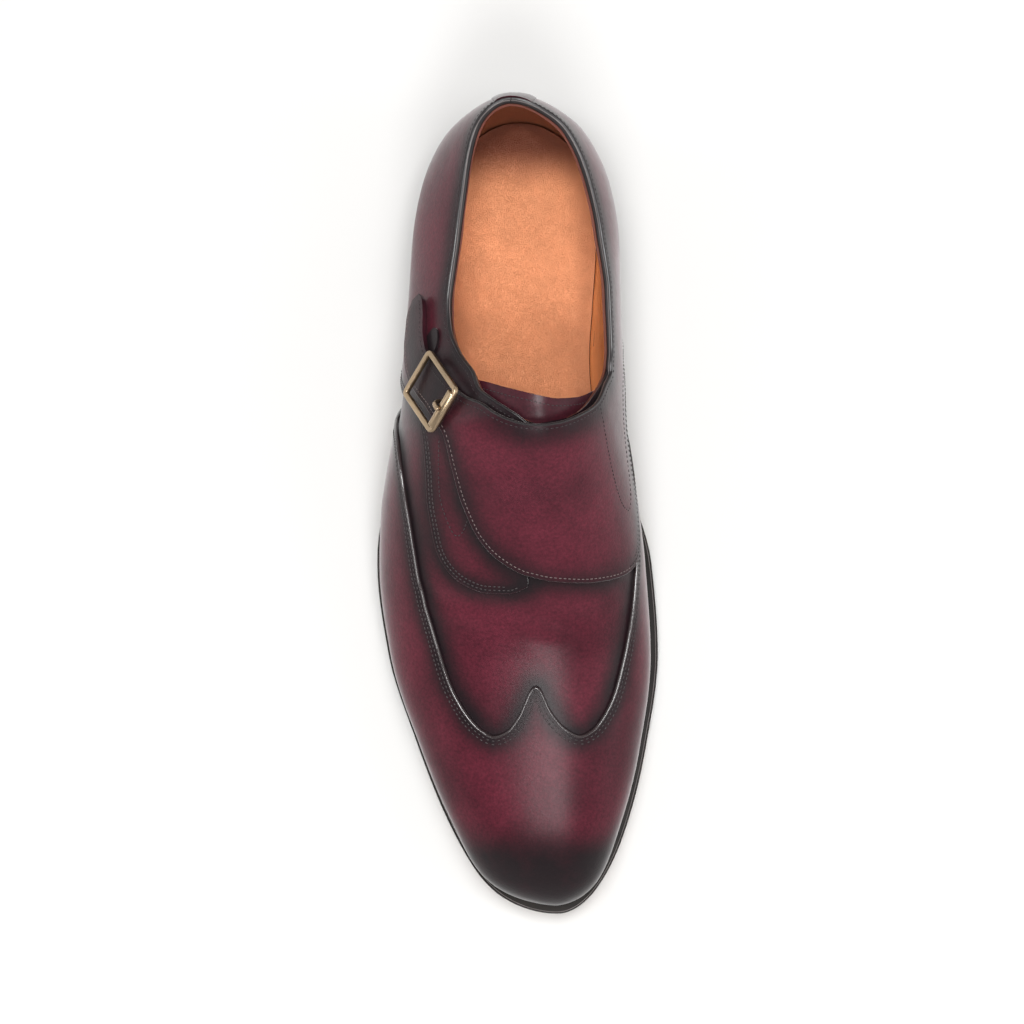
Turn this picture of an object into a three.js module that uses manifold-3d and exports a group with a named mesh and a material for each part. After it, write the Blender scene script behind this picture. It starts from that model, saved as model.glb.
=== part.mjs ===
// Monk strap shoe, right foot: a hollow wing-capped upper on a welted leather sole with a stacked heel.
// Millimetres, +Z up. The toe points to -Y, the medial side is +X, the origin is under the middle.
import * as THREE from "three";
import { mergeVertices } from "three/addons/utils/BufferGeometryUtils.js";
import Module from "manifold-3d";

const wasm = await Module();
wasm.setup();

// Driving sizes of the last and the bottom
const soleLength = 305;
const ballWidth = 108;
const instepHeight = 107;
const heelSeatHeight = 26.4;
const heelLength = 83;
const toeWelt = 5.5;
const heelSet = 2.5;

// Thicknesses and the gap that touching pieces keep
const outsoleThickness = 5;
const weltThickness = 2.8;
const topLiftThickness = 7;
const insoleThickness = 2.6;
const upperWall = 2;
const tongueThickness = 2.2;
const bindingHeight = 2.4;
const bindingProud = 0.7;
const bindingInside = 0.2;
const quarterThickness = 1.3;
const capThickness = 1.2;
const strapThickness = 2.6;
const tabThickness = 0.7;
const gap = 0.3;

// Insets between neighbouring outlines
const heelTaper = 1.2;
const weltInnerLedge = 6;
const insoleClearance = 0.8;
const tongueClearance = 0.75;
const bedClearance = 0.5;
const overlayGap = 0.35;
const overlayFoot = 0.6;
const cutterReach = 6;
const endRadius = 30;

// Buckle: a flat frame over the strap, a roller round its front bar, and the tip of the prong that
// comes up through the strap's hole and lies on the roller
const buckleLength = 27;
const buckleWidth = 20.5;
const buckleBar = 2.2;
const buckleFrontBar = 3.6;
const buckleThickness = 2;
const buckleCorner = 2.5;
const rollerDiameter = 3.6;
const rollerLength = 14;
const prongDiameter = 1.8;
const prongHole = 4;
const prongRoot = 5.5;

// Facets
const stations = 35;
const heelStations = 16;
const lowerSteps = 3;
const upperSteps = 7;
const collarSteps = 18;
const lowerShare = 0.2;

// A table: the names of its columns, then its rows
function table(names, rows) {
  return rows.map((row) => Object.fromEntries(names.map((name, i) => [name, row[i]])));
}

// Sole edge seen from above: share of the length, edges as shares of the ball width
const soleOutline = [
  { along: 0, lateral: 0, medial: 0 },
  { along: 0.012, lateral: -0.142, medial: 0.142 },
  { along: 0.042, lateral: -0.243, medial: 0.241 },
  { along: 0.105, lateral: -0.305, medial: 0.301 },
  { along: 0.19, lateral: -0.312, medial: 0.307 },
  { along: 0.275, lateral: -0.325, medial: 0.285 },
  { along: 0.36, lateral: -0.387, medial: 0.282 },
  { along: 0.46, lateral: -0.477, medial: 0.375 },
  { along: 0.56, lateral: -0.521, medial: 0.458 },
  { along: 0.675, lateral: -0.481, medial: 0.481 },
  { along: 0.79, lateral: -0.375, medial: 0.44 },
  { along: 0.905, lateral: -0.235, medial: 0.357 },
  { along: 0.97, lateral: -0.105, medial: 0.262 },
  { along: 1, lateral: 0.125, medial: 0.125 },
];

// Underside of the outsole: share of the length, height as a share of the heel seat height
const soleLine = [
  { along: 0, height: 1 },
  { along: 0.174, height: 0.72 },
  { along: 0.275, height: 0.645 },
  { along: 0.365, height: 0.535 },
  { along: 0.428, height: 0.35 },
  { along: 0.464, height: 0.222 },
  { along: 0.5, height: 0.125 },
  { along: 0.537, height: 0.05 },
  { along: 0.572, height: 0 },
  { along: 0.715, height: 0 },
  { along: 0.839, height: 0.136 },
  { along: 0.95, height: 0.288 },
  { along: 1, height: 0.35 },
];

// Sections of the last: share of the upper's length, sides as shares of the ball width,
// heights as shares of the instep height, and the fullness of the curve over each side
const lastSections = table(
  ["along", "featherLat", "featherMed", "bulgeLat", "bulgeMed", "bulgeHeight",
    "ridge", "ridgeHeight", "fullLat", "fullMed"],
  [
    [0, 0, 0, 0, 0, 0.51, 0, 1.12, 1.4, 1.4],
    [0.012, -0.125, 0.125, -0.13, 0.13, 0.51, 0.02, 1.12, 1.35, 1.5],
    [0.04, -0.21, 0.21, -0.232, 0.23, 0.5, 0.042, 1.1, 1.25, 1.6],
    [0.1, -0.273, 0.273, -0.315, 0.31, 0.48, 0.054, 1.03, 1.2, 1.7],
    [0.16, -0.285, 0.282, -0.347, 0.338, 0.47, 0.062, 0.975, 1.25, 1.9],
    [0.235, -0.29, 0.268, -0.362, 0.344, 0.465, 0.068, 0.955, 1.4, 2.5],
    [0.305, -0.32, 0.255, -0.38, 0.352, 0.45, 0.08, 0.975, 1.5, 2.4],
    [0.37, -0.37, 0.268, -0.405, 0.36, 0.41, 0.09, 1, 1.65, 2.05],
    [0.405, -0.4, 0.295, -0.422, 0.368, 0.38, 0.092, 0.977, 1.85, 1.95],
    [0.46, -0.44, 0.343, -0.453, 0.39, 0.335, 0.088, 0.88, 1.85, 1.9],
    [0.5, -0.462, 0.378, -0.472, 0.405, 0.3, 0.084, 0.8, 1.85, 1.9],
    [0.57, -0.477, 0.418, -0.482, 0.426, 0.255, 0.078, 0.678, 1.9, 1.95],
    [0.685, -0.44, 0.44, -0.444, 0.444, 0.225, 0.068, 0.519, 2, 2.05],
    [0.8, -0.336, 0.403, -0.339, 0.406, 0.23, 0.08, 0.472, 2.2, 2.2],
    [0.9, -0.217, 0.335, -0.22, 0.338, 0.242, 0.1, 0.428, 2.3, 2.3],
    [0.965, -0.112, 0.268, -0.114, 0.27, 0.235, 0.118, 0.348, 2.3, 2.3],
    [1, 0.125, 0.125, 0.125, 0.125, 0.19, 0.125, 0.215, 2.2, 2.2],
  ],
);

// Top line of the collar seen from the side: share of the sole's length and of the instep height
const collarLine = [
  { along: -0.05, height: 0.91 },
  { along: 0, height: 0.9 },
  { along: 0.04, height: 0.852 },
  { along: 0.085, height: 0.807 },
  { along: 0.15, height: 0.765 },
  { along: 0.22, height: 0.752 },
  { along: 0.265, height: 0.765 },
  { along: 0.3, height: 0.8 },
  { along: 0.33, height: 0.86 },
  { along: 0.36, height: 0.945 },
  { along: 0.39, height: 1.06 },
];

// Heel curve of the back seam: how far it leans back, and where it is furthest out
const heelCurve = { depth: 2.5, height: 62, reach: 34, fade: 60 };

// Rear edge of the wing cap, from the lateral feather over the peak to the medial feather:
// place round the last, and share of the sole's length
const wingEdge = [
  { around: 0, along: 0.355 },
  { around: 0.12, along: 0.368 },
  { around: 0.2, along: 0.384 },
  { around: 0.255, along: 0.407 },
  { around: 0.287, along: 0.442 },
  { around: 0.313, along: 0.487 },
  { around: 0.331, along: 0.54 },
  { around: 0.344, along: 0.59 },
  { around: 0.355, along: 0.63 },
  { around: 0.366, along: 0.67 },
  { around: 0.38, along: 0.715 },
  { around: 0.4, along: 0.748 },
  { around: 0.417, along: 0.763 },
  { around: 0.437, along: 0.771 },
  { around: 0.458, along: 0.765 },
  { around: 0.477, along: 0.746 },
  { around: 0.499, along: 0.71 },
  { around: 0.519, along: 0.74 },
  { around: 0.542, along: 0.76 },
  { around: 0.572, along: 0.77 },
  { around: 0.6, along: 0.763 },
  { around: 0.625, along: 0.745 },
  { around: 0.645, along: 0.722 },
  { around: 0.667, along: 0.68 },
  { around: 0.69, along: 0.637 },
  { around: 0.715, along: 0.59 },
  { around: 0.735, along: 0.55 },
  { around: 0.752, along: 0.51 },
  { around: 0.77, along: 0.475 },
  { around: 0.79, along: 0.445 },
  { around: 0.82, along: 0.418 },
  { around: 0.88, along: 0.39 },
  { around: 1, along: 0.372 },
];

// Lower edge of the lateral quarter: along the feather, up the side, and forward under the strap
const lateralEdge = [
  { around: 0, along: 0.0082 },
  { around: 0, along: 0.04 },
  { around: 0, along: 0.1 },
  { around: 0, along: 0.18 },
  { around: 0, along: 0.25 },
  { around: 0, along: 0.29 },
  { around: 0.09, along: 0.302 },
  { around: 0.17, along: 0.325 },
  { around: 0.26, along: 0.358 },
  { around: 0.325, along: 0.392 },
  { around: 0.345, along: 0.44 },
  { around: 0.357, along: 0.495 },
  { around: 0.372, along: 0.545 },
  { around: 0.388, along: 0.568 },
  { around: 0.407, along: 0.583 },
  { around: 0.438, along: 0.594 },
  { around: 0.465, along: 0.595 },
  { around: 0.488, along: 0.587 },
];

// Lower edge of the medial quarter: along the feather, up the side, and forward to the strap
const medialEdge = [
  { around: 1, along: 0.0082 },
  { around: 1, along: 0.04 },
  { around: 1, along: 0.1 },
  { around: 1, along: 0.18 },
  { around: 1, along: 0.25 },
  { around: 1, along: 0.29 },
  { around: 0.92, along: 0.3 },
  { around: 0.86, along: 0.314 },
  { around: 0.815, along: 0.335 },
  { around: 0.785, along: 0.368 },
  { around: 0.765, along: 0.41 },
  { around: 0.752, along: 0.46 },
  { around: 0.741, along: 0.51 },
  { around: 0.724, along: 0.538 },
  { around: 0.7, along: 0.555 },
  { around: 0.665, along: 0.566 },
  { around: 0.63, along: 0.571 },
  { around: 0.6, along: 0.573 },
];

// Upper edge of the quarters in front of the collar, under the strap
const quarterThroat = { start: 0.372, end: 0.56, lateral: 0.47, medial: 0.575 };

// Strap from its medial seam over the instep, through the buckle to its tip: rear and front edge,
// how much narrower each side is, how far it is lifted off the last, and its share of the thickness
const strapPath = table(
  ["rearAround", "rearAlong", "frontAround", "frontAlong", "narrow", "lift", "thick"],
  [
    [0.655, 0.37, 0.738, 0.506, 0, 1, 0.35],
    [0.635, 0.379, 0.712, 0.55, 0, 1, 0.5],
    [0.61, 0.388, 0.675, 0.568, 0, 1, 0.75],
    [0.575, 0.397, 0.63, 0.577, 0, 1, 1],
    [0.54, 0.402, 0.58, 0.58, 0, 1, 1],
    [0.51, 0.403, 0.53, 0.578, 0, 1, 1],
    [0.485, 0.401, 0.49, 0.572, 0, 1, 1],
    [0.463, 0.395, 0.457, 0.555, 0, 1, 1],
    [0.442, 0.387, 0.43, 0.527, 0, 1, 1],
    [0.42, 0.376, 0.411, 0.49, 0, 1, 1],
    [0.4, 0.365, 0.394, 0.452, 0.05, 1, 0.8],
    [0.383, 0.352, 0.375, 0.415, 0.13, 1, 0.7],
    [0.362, 0.334, 0.345, 0.392, 0.16, 1.1, 0.7],
    [0.342, 0.316, 0.312, 0.369, 0.16, 1.25, 0.7],
    [0.327, 0.3, 0.283, 0.347, 0.15, 1.3, 0.7],
    [0.318, 0.281, 0.268, 0.323, 0.12, 1.3, 0.7],
    [0.314, 0.262, 0.262, 0.298, 0.1, 1.3, 0.7],
    [0.308, 0.249, 0.264, 0.272, 0.08, 1.3, 0.7],
    [0.297, 0.242, 0.278, 0.25, 0.08, 1.3, 0.65],
  ],
);
const strapLift = 2.3;

// Where the buckle lies on the strap's run: its front and rear bars, and their heights off the last
const buckleSeat = { front: 0.6, rear: 0.739, frontLift: 7.3, rearLift: 6.9 };

// The tab that holds the buckle: its middle and half length on the strap's run, how far it goes
// beside and under the strap, and the share of it that is rounded, as shares of the strap's width
const tabSeat = { middle: 0.79, half: 0.035, beside: 0.44, under: 0.05, round: 0.2, blunt: 0.35 };

// Tongue: from its free top edge to the front, and its half width as a share of the way round
const tongueTop = 0.363;
const tongueFront = 0.56;
const tongueShare = 0.19;

// Monotone cubic through one named column of a table, read at any value of the key
function column(rows, name, key = (row) => row.along) {
  const x = rows.map(key);
  const y = rows.map((row) => row[name]);
  const slope = x.slice(1).map((value, i) => (y[i + 1] - y[i]) / (value - x[i]));
  const tangent = x.map((_, i) => {
    if (i === 0) return slope[0];
    if (i === x.length - 1) return slope[i - 1];
    if (slope[i - 1] * slope[i] <= 0) return 0;
    return (2 * slope[i - 1] * slope[i]) / (slope[i - 1] + slope[i]);
  });
  return (at) => {
    const held = Math.min(Math.max(at, x[0]), x[x.length - 1]);
    let i = 0;
    while (i < x.length - 2 && held > x[i + 1]) i += 1;
    const span = x[i + 1] - x[i];
    const u = (held - x[i]) / span;
    const rise = u * u * (3 - 2 * u);
    const leave = u * (1 - u) * (1 - u) * span * tangent[i];
    const arrive = u * u * (1 - u) * span * tangent[i + 1];
    return y[i] + (y[i + 1] - y[i]) * rise + leave - arrive;
  };
}

// Half a turn from heel to toe: equal steps of it crowd round both ends, so they close round
const turnOf = (share) => Math.acos(1 - 2 * Math.min(Math.max(share, 0), 1)) / Math.PI;
const shareOf = (turn) => (1 - Math.cos(Math.PI * turn)) / 2;
const byTurn = (row) => turnOf(row.along);

const soleLateral = column(soleOutline, "lateral", byTurn);
const soleMedial = column(soleOutline, "medial", byTurn);
const soleHeight = column(soleLine, "height");
const collarHeight = column(collarLine, "height");
const section = Object.fromEntries(
  Object.keys(lastSections[0])
    .filter((name) => name !== "along")
    .map((name) => [name, column(lastSections, name, byTurn)]),
);

// Heights along the shoe, at a distance s from the back of the heel
const outsoleBottom = (s) => soleHeight(s / soleLength) * heelSeatHeight;
const outsoleTop = (s) => outsoleBottom(s) + outsoleThickness;
const weltBottom = (s) => outsoleTop(s) + gap;
const weltTop = (s) => weltBottom(s) + weltThickness;
const feather = (s) => weltTop(s) + gap;
const insoleTop = (s) => feather(s) + insoleThickness;
const collarTop = (s) => collarHeight(s / soleLength) * instepHeight;

// The model's own frame: s runs from the heel's back to the toe, x from the middle of the heel
const middleX = (ballWidth * (Math.min(...soleOutline.map((row) => row.lateral))
  + Math.max(...soleOutline.map((row) => row.medial)))) / 2;
const point = (x, s, z) => new THREE.Vector3(x - middleX, soleLength / 2 - s, z);

// The upper's outer surface, or one offset from it: turn from heel to toe, round from the
// lateral feather (0) over the ridge (0.5) to the medial feather (1). The sideways part of an
// offset fades where the outline closes round the heel and the toe.
const upperLength = soleLength - toeWelt - heelSet;
function onLast(turn, round, offset = 0) {
  const s = heelSet + upperLength / 2 - (upperLength / 2 + offset) * Math.cos(Math.PI * turn);
  const medial = round > 0.5;
  const side = medial ? 1 : -1;
  const up = medial ? 1 - round : round;
  const ridge = section.ridge(turn) * ballWidth;
  const pushed = (name) => {
    const x = section[name + (medial ? "Med" : "Lat")](turn) * ballWidth;
    return x + side * offset * Math.min(Math.abs(x - ridge) / endRadius, 1);
  };
  const foot = pushed("feather");
  const bulge = pushed("bulge");
  const full = medial ? section.fullMed(turn) : section.fullLat(turn);
  const base = feather(Math.min(Math.max(s, 0), soleLength));
  const middle = section.bulgeHeight(turn) * instepHeight;
  const top = section.ridgeHeight(turn) * instepHeight + offset;
  let x = 0;
  let z = 0;
  if (up < lowerShare) {
    const angle = (up / lowerShare) * (Math.PI / 2);
    x = foot + (bulge - foot) * Math.sin(angle);
    z = base + (middle - base) * (1 - Math.cos(angle));
  } else {
    const angle = ((up - lowerShare) / (0.5 - lowerShare)) * (Math.PI / 2);
    x = ridge + (bulge - ridge) * Math.max(Math.cos(angle), 0) ** (2 / full);
    z = middle + (top - middle) * Math.sin(angle) ** (2 / full);
  }
  return point(x, s + leanOf(s, z), z);
}

// The back seam's lean, fading out along the quarters
function leanOf(s, z) {
  const away = (z - heelCurve.height) / heelCurve.reach;
  const fade = Math.max(1 - Math.max(s, 0) / heelCurve.fade, 0);
  return heelCurve.depth * (2 * away * away - 1) * fade * fade;
}

const turnAt = (s) => turnOf((s - heelSet) / upperLength);

// A closed body from triangles of points: equal points are joined, flat slivers dropped
function bodyOf(points, triangles) {
  const raw = new THREE.BufferGeometry();
  raw.setAttribute("position", new THREE.Float32BufferAttribute(points.flatMap((p) => [p.x, p.y, p.z]), 3));
  raw.setIndex(triangles.flat());
  const merged = mergeVertices(raw, 1e-4);
  const order = merged.index.array;
  const kept = [];
  for (let i = 0; i < order.length; i += 3) {
    const [a, b, c] = [order[i], order[i + 1], order[i + 2]];
    if (a !== b && b !== c && c !== a) kept.push(a, b, c);
  }
  merged.setIndex(kept);
  if (volumeOf(merged) < 0) {
    for (let i = 0; i < kept.length; i += 3) [kept[i + 1], kept[i + 2]] = [kept[i + 2], kept[i + 1]];
    merged.setIndex(kept);
  }
  return merged;
}

function volumeOf(geometry) {
  const position = geometry.attributes.position;
  const [a, b, c] = [new THREE.Vector3(), new THREE.Vector3(), new THREE.Vector3()];
  let sum = 0;
  for (let i = 0; i < geometry.index.count; i += 3) {
    a.fromBufferAttribute(position, geometry.index.getX(i));
    b.fromBufferAttribute(position, geometry.index.getX(i + 1));
    c.fromBufferAttribute(position, geometry.index.getX(i + 2));
    sum += a.dot(b.cross(c)) / 6;
  }
  return sum;
}

// A loft through sections with equally many points. Each section runs up its left side and down
// its right, so its end is closed by rungs between the two sides.
function loft(sections) {
  const count = sections[0].length;
  const points = sections.flat();
  const triangles = [];
  for (let i = 0; i + 1 < sections.length; i += 1) {
    for (let j = 0; j < count; j += 1) {
      const k = (j + 1) % count;
      const [a, b, c, d] = [i * count + j, i * count + k, (i + 1) * count + k, (i + 1) * count + j];
      triangles.push([a, b, c], [a, c, d]);
    }
  }
  for (const [start, turned] of [[0, true], [(sections.length - 1) * count, false]]) {
    for (let j = 0; j + 1 < count / 2; j += 1) {
      const [a, b, c, d] = [start + j, start + j + 1, start + count - 2 - j, start + count - 1 - j];
      triangles.push(...(turned ? [[a, c, b], [a, d, c]] : [[a, b, c], [a, c, d]]));
    }
  }
  return bodyOf(points, triangles);
}

// Stations from heel to toe, crowded at both ends
function turns(count, from = 0, to = 1) {
  return Array.from({ length: count + 1 }, (_, i) => from + ((to - from) * i) / count);
}

// Places round the last, with the points of the side walls and of the top at even steps
const rounds = [
  ...Array.from({ length: lowerSteps }, (_, i) => (lowerShare * i) / lowerSteps),
  ...Array.from({ length: upperSteps + 1 }, (_, i) => lowerShare + ((0.5 - lowerShare) * i) / upperSteps),
];
const allRounds = [...rounds, ...rounds.slice(0, -1).reverse().map((value) => 1 - value)];

// The last as a solid, offset outwards, and lengthened downwards where it has to cut a floor open
function lastForm(offset, deeper = 0) {
  const sections = turns(stations).map((turn) => {
    const ring = allRounds.map((round) => onLast(turn, round, offset));
    const lower = (p) => new THREE.Vector3(p.x, p.y, p.z - deeper);
    const foot = deeper > 0 ? [lower(ring[0]), ...ring, lower(ring[ring.length - 1])] : ring;
    const middle = (foot.length - 1) / 2;
    return foot.length % 2 ? [...foot.slice(0, middle + 1), ...foot.slice(middle)] : foot;
  });
  return loft(sections);
}

// A plate between two heights with the sole's outline, inset, with upright or leaning sides
function plate({ to = soleLength, bottom, top, insetBottom = 0, insetTop = insetBottom, count = stations }) {
  const ends = to === soleLength ? turns(count) : turns(count, 0, turnOf(to / soleLength));
  const sections = ends.map((turn) => {
    const s = shareOf(turn) * soleLength;
    const corner = (side, inset, height) => {
      const half = soleLength / 2;
      const along = half - (half - inset) * Math.cos(Math.PI * turn);
      const edge = (side < 0 ? soleLateral(turn) : soleMedial(turn)) * ballWidth;
      const tip = (turn < 0.5 ? 0 : soleOutline[soleOutline.length - 1].medial * ballWidth);
      const room = Math.min(inset, Math.abs(edge - tip));
      return point(edge - side * room, Math.min(Math.max(along, 0), to), height(s));
    };
    return [
      corner(-1, insetBottom, bottom),
      corner(-1, insetTop, top),
      corner(1, insetTop, top),
      corner(1, insetBottom, bottom),
    ];
  });
  return loft(sections);
}

// Booleans
function solid(geometry) {
  const clean = geometry.clone();
  for (const name of Object.keys(clean.attributes)) if (name !== "position") clean.deleteAttribute(name);
  const merged = mergeVertices(clean, 1e-4);
  return new wasm.Manifold(new wasm.Mesh({
    numProp: 3,
    vertProperties: new Float32Array(merged.attributes.position.array),
    triVerts: new Uint32Array(merged.index.array),
  }));
}

function geometryOf(body) {
  const mesh = body.getMesh();
  const geometry = new THREE.BufferGeometry();
  geometry.setAttribute("position", new THREE.Float32BufferAttribute(mesh.vertProperties, 3));
  geometry.setIndex([...mesh.triVerts]);
  return geometry;
}

// A prism across the whole width, from an outline drawn in the side view
function sidePrism(outline) {
  const width = ballWidth * 2;
  const shape = new THREE.Shape(outline.map(([s, z]) => new THREE.Vector2(soleLength / 2 - s, z)));
  const prism = new THREE.ExtrudeGeometry(shape, { depth: width, bevelEnabled: false, steps: 1 });
  prism.applyMatrix4(new THREE.Matrix4().makeBasis(
    new THREE.Vector3(0, 1, 0), new THREE.Vector3(0, 0, 1), new THREE.Vector3(1, 0, 0),
  ));
  return prism.translate(-width / 2, 0, 0);
}

// Points of the collar line, lowered, from behind the heel to in front of the throat
const collarStart = collarLine[0].along * soleLength;
const collarEnd = collarLine[collarLine.length - 1].along * soleLength;
function collarPoints(lowered) {
  return turns(collarSteps, collarStart, collarEnd).map((s) => [s, collarTop(s) - lowered]);
}
const sky = instepHeight * 1.5;

function aboveCollar(lowered) {
  return sidePrism([...collarPoints(lowered), [collarEnd, sky], [collarStart, sky]]);
}

// The sole and heel
function outsole() {
  return plate({ bottom: outsoleBottom, top: outsoleTop });
}

// A plate inside the foot of the last, stepped where its edge changes
function floorPlate(steps) {
  const sections = turns(stations).map((turn) => {
    const side = (round) => steps.map(({ edge, height }) => {
      const p = onLast(turn, round, edge);
      return new THREE.Vector3(p.x, p.y, height(soleLength / 2 - p.y));
    });
    return [...side(0), ...side(1).reverse()];
  });
  return loft(sections);
}

const bedEdge = -upperWall - weltInnerLedge;

function welt() {
  const rim = plate({ bottom: weltBottom, top: weltTop });
  const hole = floorPlate([
    { edge: bedEdge + gap, height: (s) => weltBottom(s) - weltThickness },
    { edge: bedEdge + gap, height: (s) => weltTop(s) + weltThickness },
  ]);
  return geometryOf(solid(rim).subtract(solid(hole)));
}

function topLift() {
  return plate({
    to: heelLength,
    bottom: () => 0,
    top: () => topLiftThickness,
    insetBottom: heelTaper,
    count: heelStations,
  });
}

function heelStack() {
  return plate({
    to: heelLength,
    bottom: () => topLiftThickness + gap,
    top: (s) => outsoleBottom(s) - gap,
    insetBottom: heelTaper,
    insetTop: heelTaper / 2,
    count: heelStations,
  });
}

// The upper: one hollow wall, open at the collar and underneath
function upper() {
  const outside = solid(lastForm(0));
  const inside = solid(lastForm(-upperWall, weltThickness * 2));
  const collar = solid(aboveCollar(bindingHeight + gap));
  return geometryOf(outside.subtract(inside).subtract(collar));
}

// The rolled edge that caps the wall round the collar
function collarBinding() {
  const outside = solid(lastForm(bindingProud));
  const inside = solid(lastForm(-upperWall - bindingInside, weltThickness * 2));
  const band = solid(aboveCollar(bindingHeight)).subtract(solid(aboveCollar(0)));
  return geometryOf(outside.subtract(inside).intersect(band));
}

// The insole: a footbed inside the walls, and its cork bed down inside the welt
function insole() {
  const edge = -upperWall - insoleClearance;
  return floorPlate([
    { edge: bedEdge, height: (s) => outsoleTop(s) + bedClearance },
    { edge: bedEdge, height: feather },
    { edge, height: feather },
    { edge, height: insoleTop },
  ]);
}

// A sheet between two offsets of the last, over a patch given by its own two shares. A folded one
// ends at the toe, where its two sides meet.
function sheet({ rows, columns, place, inner, outer, folded = false }) {
  const points = [];
  for (const offset of [inner, outer]) {
    for (let i = 0; i <= rows; i += 1) {
      for (let j = 0; j <= columns; j += 1) {
        const level = typeof offset === "function" ? offset(i / rows, j / columns) : offset;
        const { turn, round } = place(i / rows, j / columns);
        const p = onLast(turn, round, level);
        p.z = Math.max(p.z, feather(soleLength / 2 - p.y) + overlayFoot);
        points.push(p);
      }
    }
  }
  const at = (face, i, j) => face * (rows + 1) * (columns + 1) + i * (columns + 1) + j;
  const triangles = [];
  const quad = (a, b, c, d) => triangles.push([a, b, c], [a, c, d]);
  for (let i = 0; i < rows; i += 1) {
    for (let j = 0; j < columns; j += 1) {
      quad(at(1, i, j), at(1, i + 1, j), at(1, i + 1, j + 1), at(1, i, j + 1));
      quad(at(0, i, j), at(0, i, j + 1), at(0, i + 1, j + 1), at(0, i + 1, j));
    }
  }
  for (let i = 0; i < rows; i += 1) {
    quad(at(0, i, 0), at(0, i + 1, 0), at(1, i + 1, 0), at(1, i, 0));
    quad(at(0, i + 1, columns), at(0, i, columns), at(1, i, columns), at(1, i + 1, columns));
  }
  for (let j = 0; j < columns; j += 1) {
    quad(at(0, 0, j + 1), at(0, 0, j), at(1, 0, j), at(1, 0, j + 1));
    if (!folded) quad(at(0, rows, j), at(0, rows, j + 1), at(1, rows, j + 1), at(1, rows, j));
  }
  if (folded) {
    for (let j = 0; j < columns / 2; j += 1) {
      const k = columns - j;
      quad(at(1, rows, j + 1), at(1, rows, j), at(1, rows, k), at(1, rows, k - 1));
      quad(at(0, rows, j), at(0, rows, j + 1), at(0, rows, k - 1), at(0, rows, k));
    }
    quad(at(1, rows, 0), at(0, rows, 0), at(0, rows, columns), at(1, rows, columns));
  }
  return bodyOf(points, triangles);
}

// A patch between two edge curves, each read from heel or buckle end to front end
function between(lower, upper) {
  return (i, j) => {
    const a = lower(i);
    const b = upper(i);
    return { turn: a.turn + (b.turn - a.turn) * j, round: a.round + (b.round - a.round) * j };
  };
}

// A table of edge points as a curve over 0 to 1, at even shares of its rows
function edgeCurve(rows, around = "around", along = "along") {
  const keyed = rows.map((row, i) => ({ ...row, key: i / (rows.length - 1) }));
  const round = column(keyed, around, (row) => row.key);
  const share = column(keyed, along, (row) => row.key);
  return (i) => ({ turn: turnAt(share(i) * soleLength), round: round(i) });
}

// The place round the last where its surface meets the collar line, at one turn
function collarRound(turn, side) {
  let low = lowerShare;
  let high = 0.5;
  for (let i = 0; i < 40; i += 1) {
    const middle = (low + high) / 2;
    const p = onLast(turn, side < 0 ? middle : 1 - middle);
    if (p.z < collarTop(soleLength / 2 - p.y)) low = middle;
    else high = middle;
  }
  return side < 0 ? low : 1 - low;
}

// Upper edge of a quarter: under the binding round the collar, then forward under the strap
function quarterTop(side) {
  const throat = side < 0 ? quarterThroat.lateral : quarterThroat.medial;
  const last = collarRound(turnAt(quarterThroat.start * soleLength), side);
  return (i) => {
    const turn = turnAt((quarterThroat.end * i + (heelSet / soleLength) * (1 - i)) * soleLength);
    const start = turnAt(quarterThroat.start * soleLength);
    if (turn <= start) return { turn, round: collarRound(turn, side) };
    const forward = (turn - start) / (turnAt(quarterThroat.end * soleLength) - start);
    return { turn, round: last + (throat - last) * forward };
  };
}

// An overlay: the shell between two forms of the last, cut out by a thick sheet
function overlay(thickness, patch, offset = overlayGap) {
  const outside = solid(lastForm(offset + thickness));
  const inside = solid(lastForm(offset, weltThickness * 2));
  const cutter = solid(sheet({ ...patch, inner: -cutterReach, outer: cutterReach }));
  return outside.subtract(inside).intersect(cutter);
}

function quarter(edge, side) {
  const body = overlay(quarterThickness, {
    rows: edge.length - 1,
    columns: 7,
    place: between(edgeCurve(edge), quarterTop(side)),
  });
  return geometryOf(body.subtract(solid(aboveCollar(bindingHeight + gap))));
}

// The cap: its rear edge follows the wing, its front closes on itself at the toe
function wingCap() {
  const edge = edgeCurve(wingEdge);
  return geometryOf(overlay(capThickness, {
    rows: 9,
    columns: wingEdge.length - 1,
    place: (i, j) => {
      const from = edge(j);
      const ease = i * i * (3 - 2 * i);
      return { turn: from.turn + (1 - from.turn) * i, round: from.round + (j - from.round) * ease };
    },
    folded: true,
  }));
}

const strapRear = edgeCurve(strapPath, "rearAround", "rearAlong");
const strapFront = edgeCurve(strapPath, "frontAround", "frontAlong");
const strapKeyed = strapPath.map((row, i) => ({ ...row, key: i / (strapPath.length - 1) }));
const strapRise = column(strapKeyed, "lift", (row) => row.key);
const strapBody = column(strapKeyed, "thick", (row) => row.key);
const strapTrim = column(strapKeyed, "narrow", (row) => row.key);

// A patch of the strap's own run, at a share along it, widened or narrowed across it
function strapPatch(start, end, widen = 0) {
  return (i, j) => {
    const at = start + (end - start) * i;
    const trim = strapTrim(at) - widen;
    return between(strapRear, strapFront)(at, trim + (1 - 2 * trim) * j);
  };
}

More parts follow.
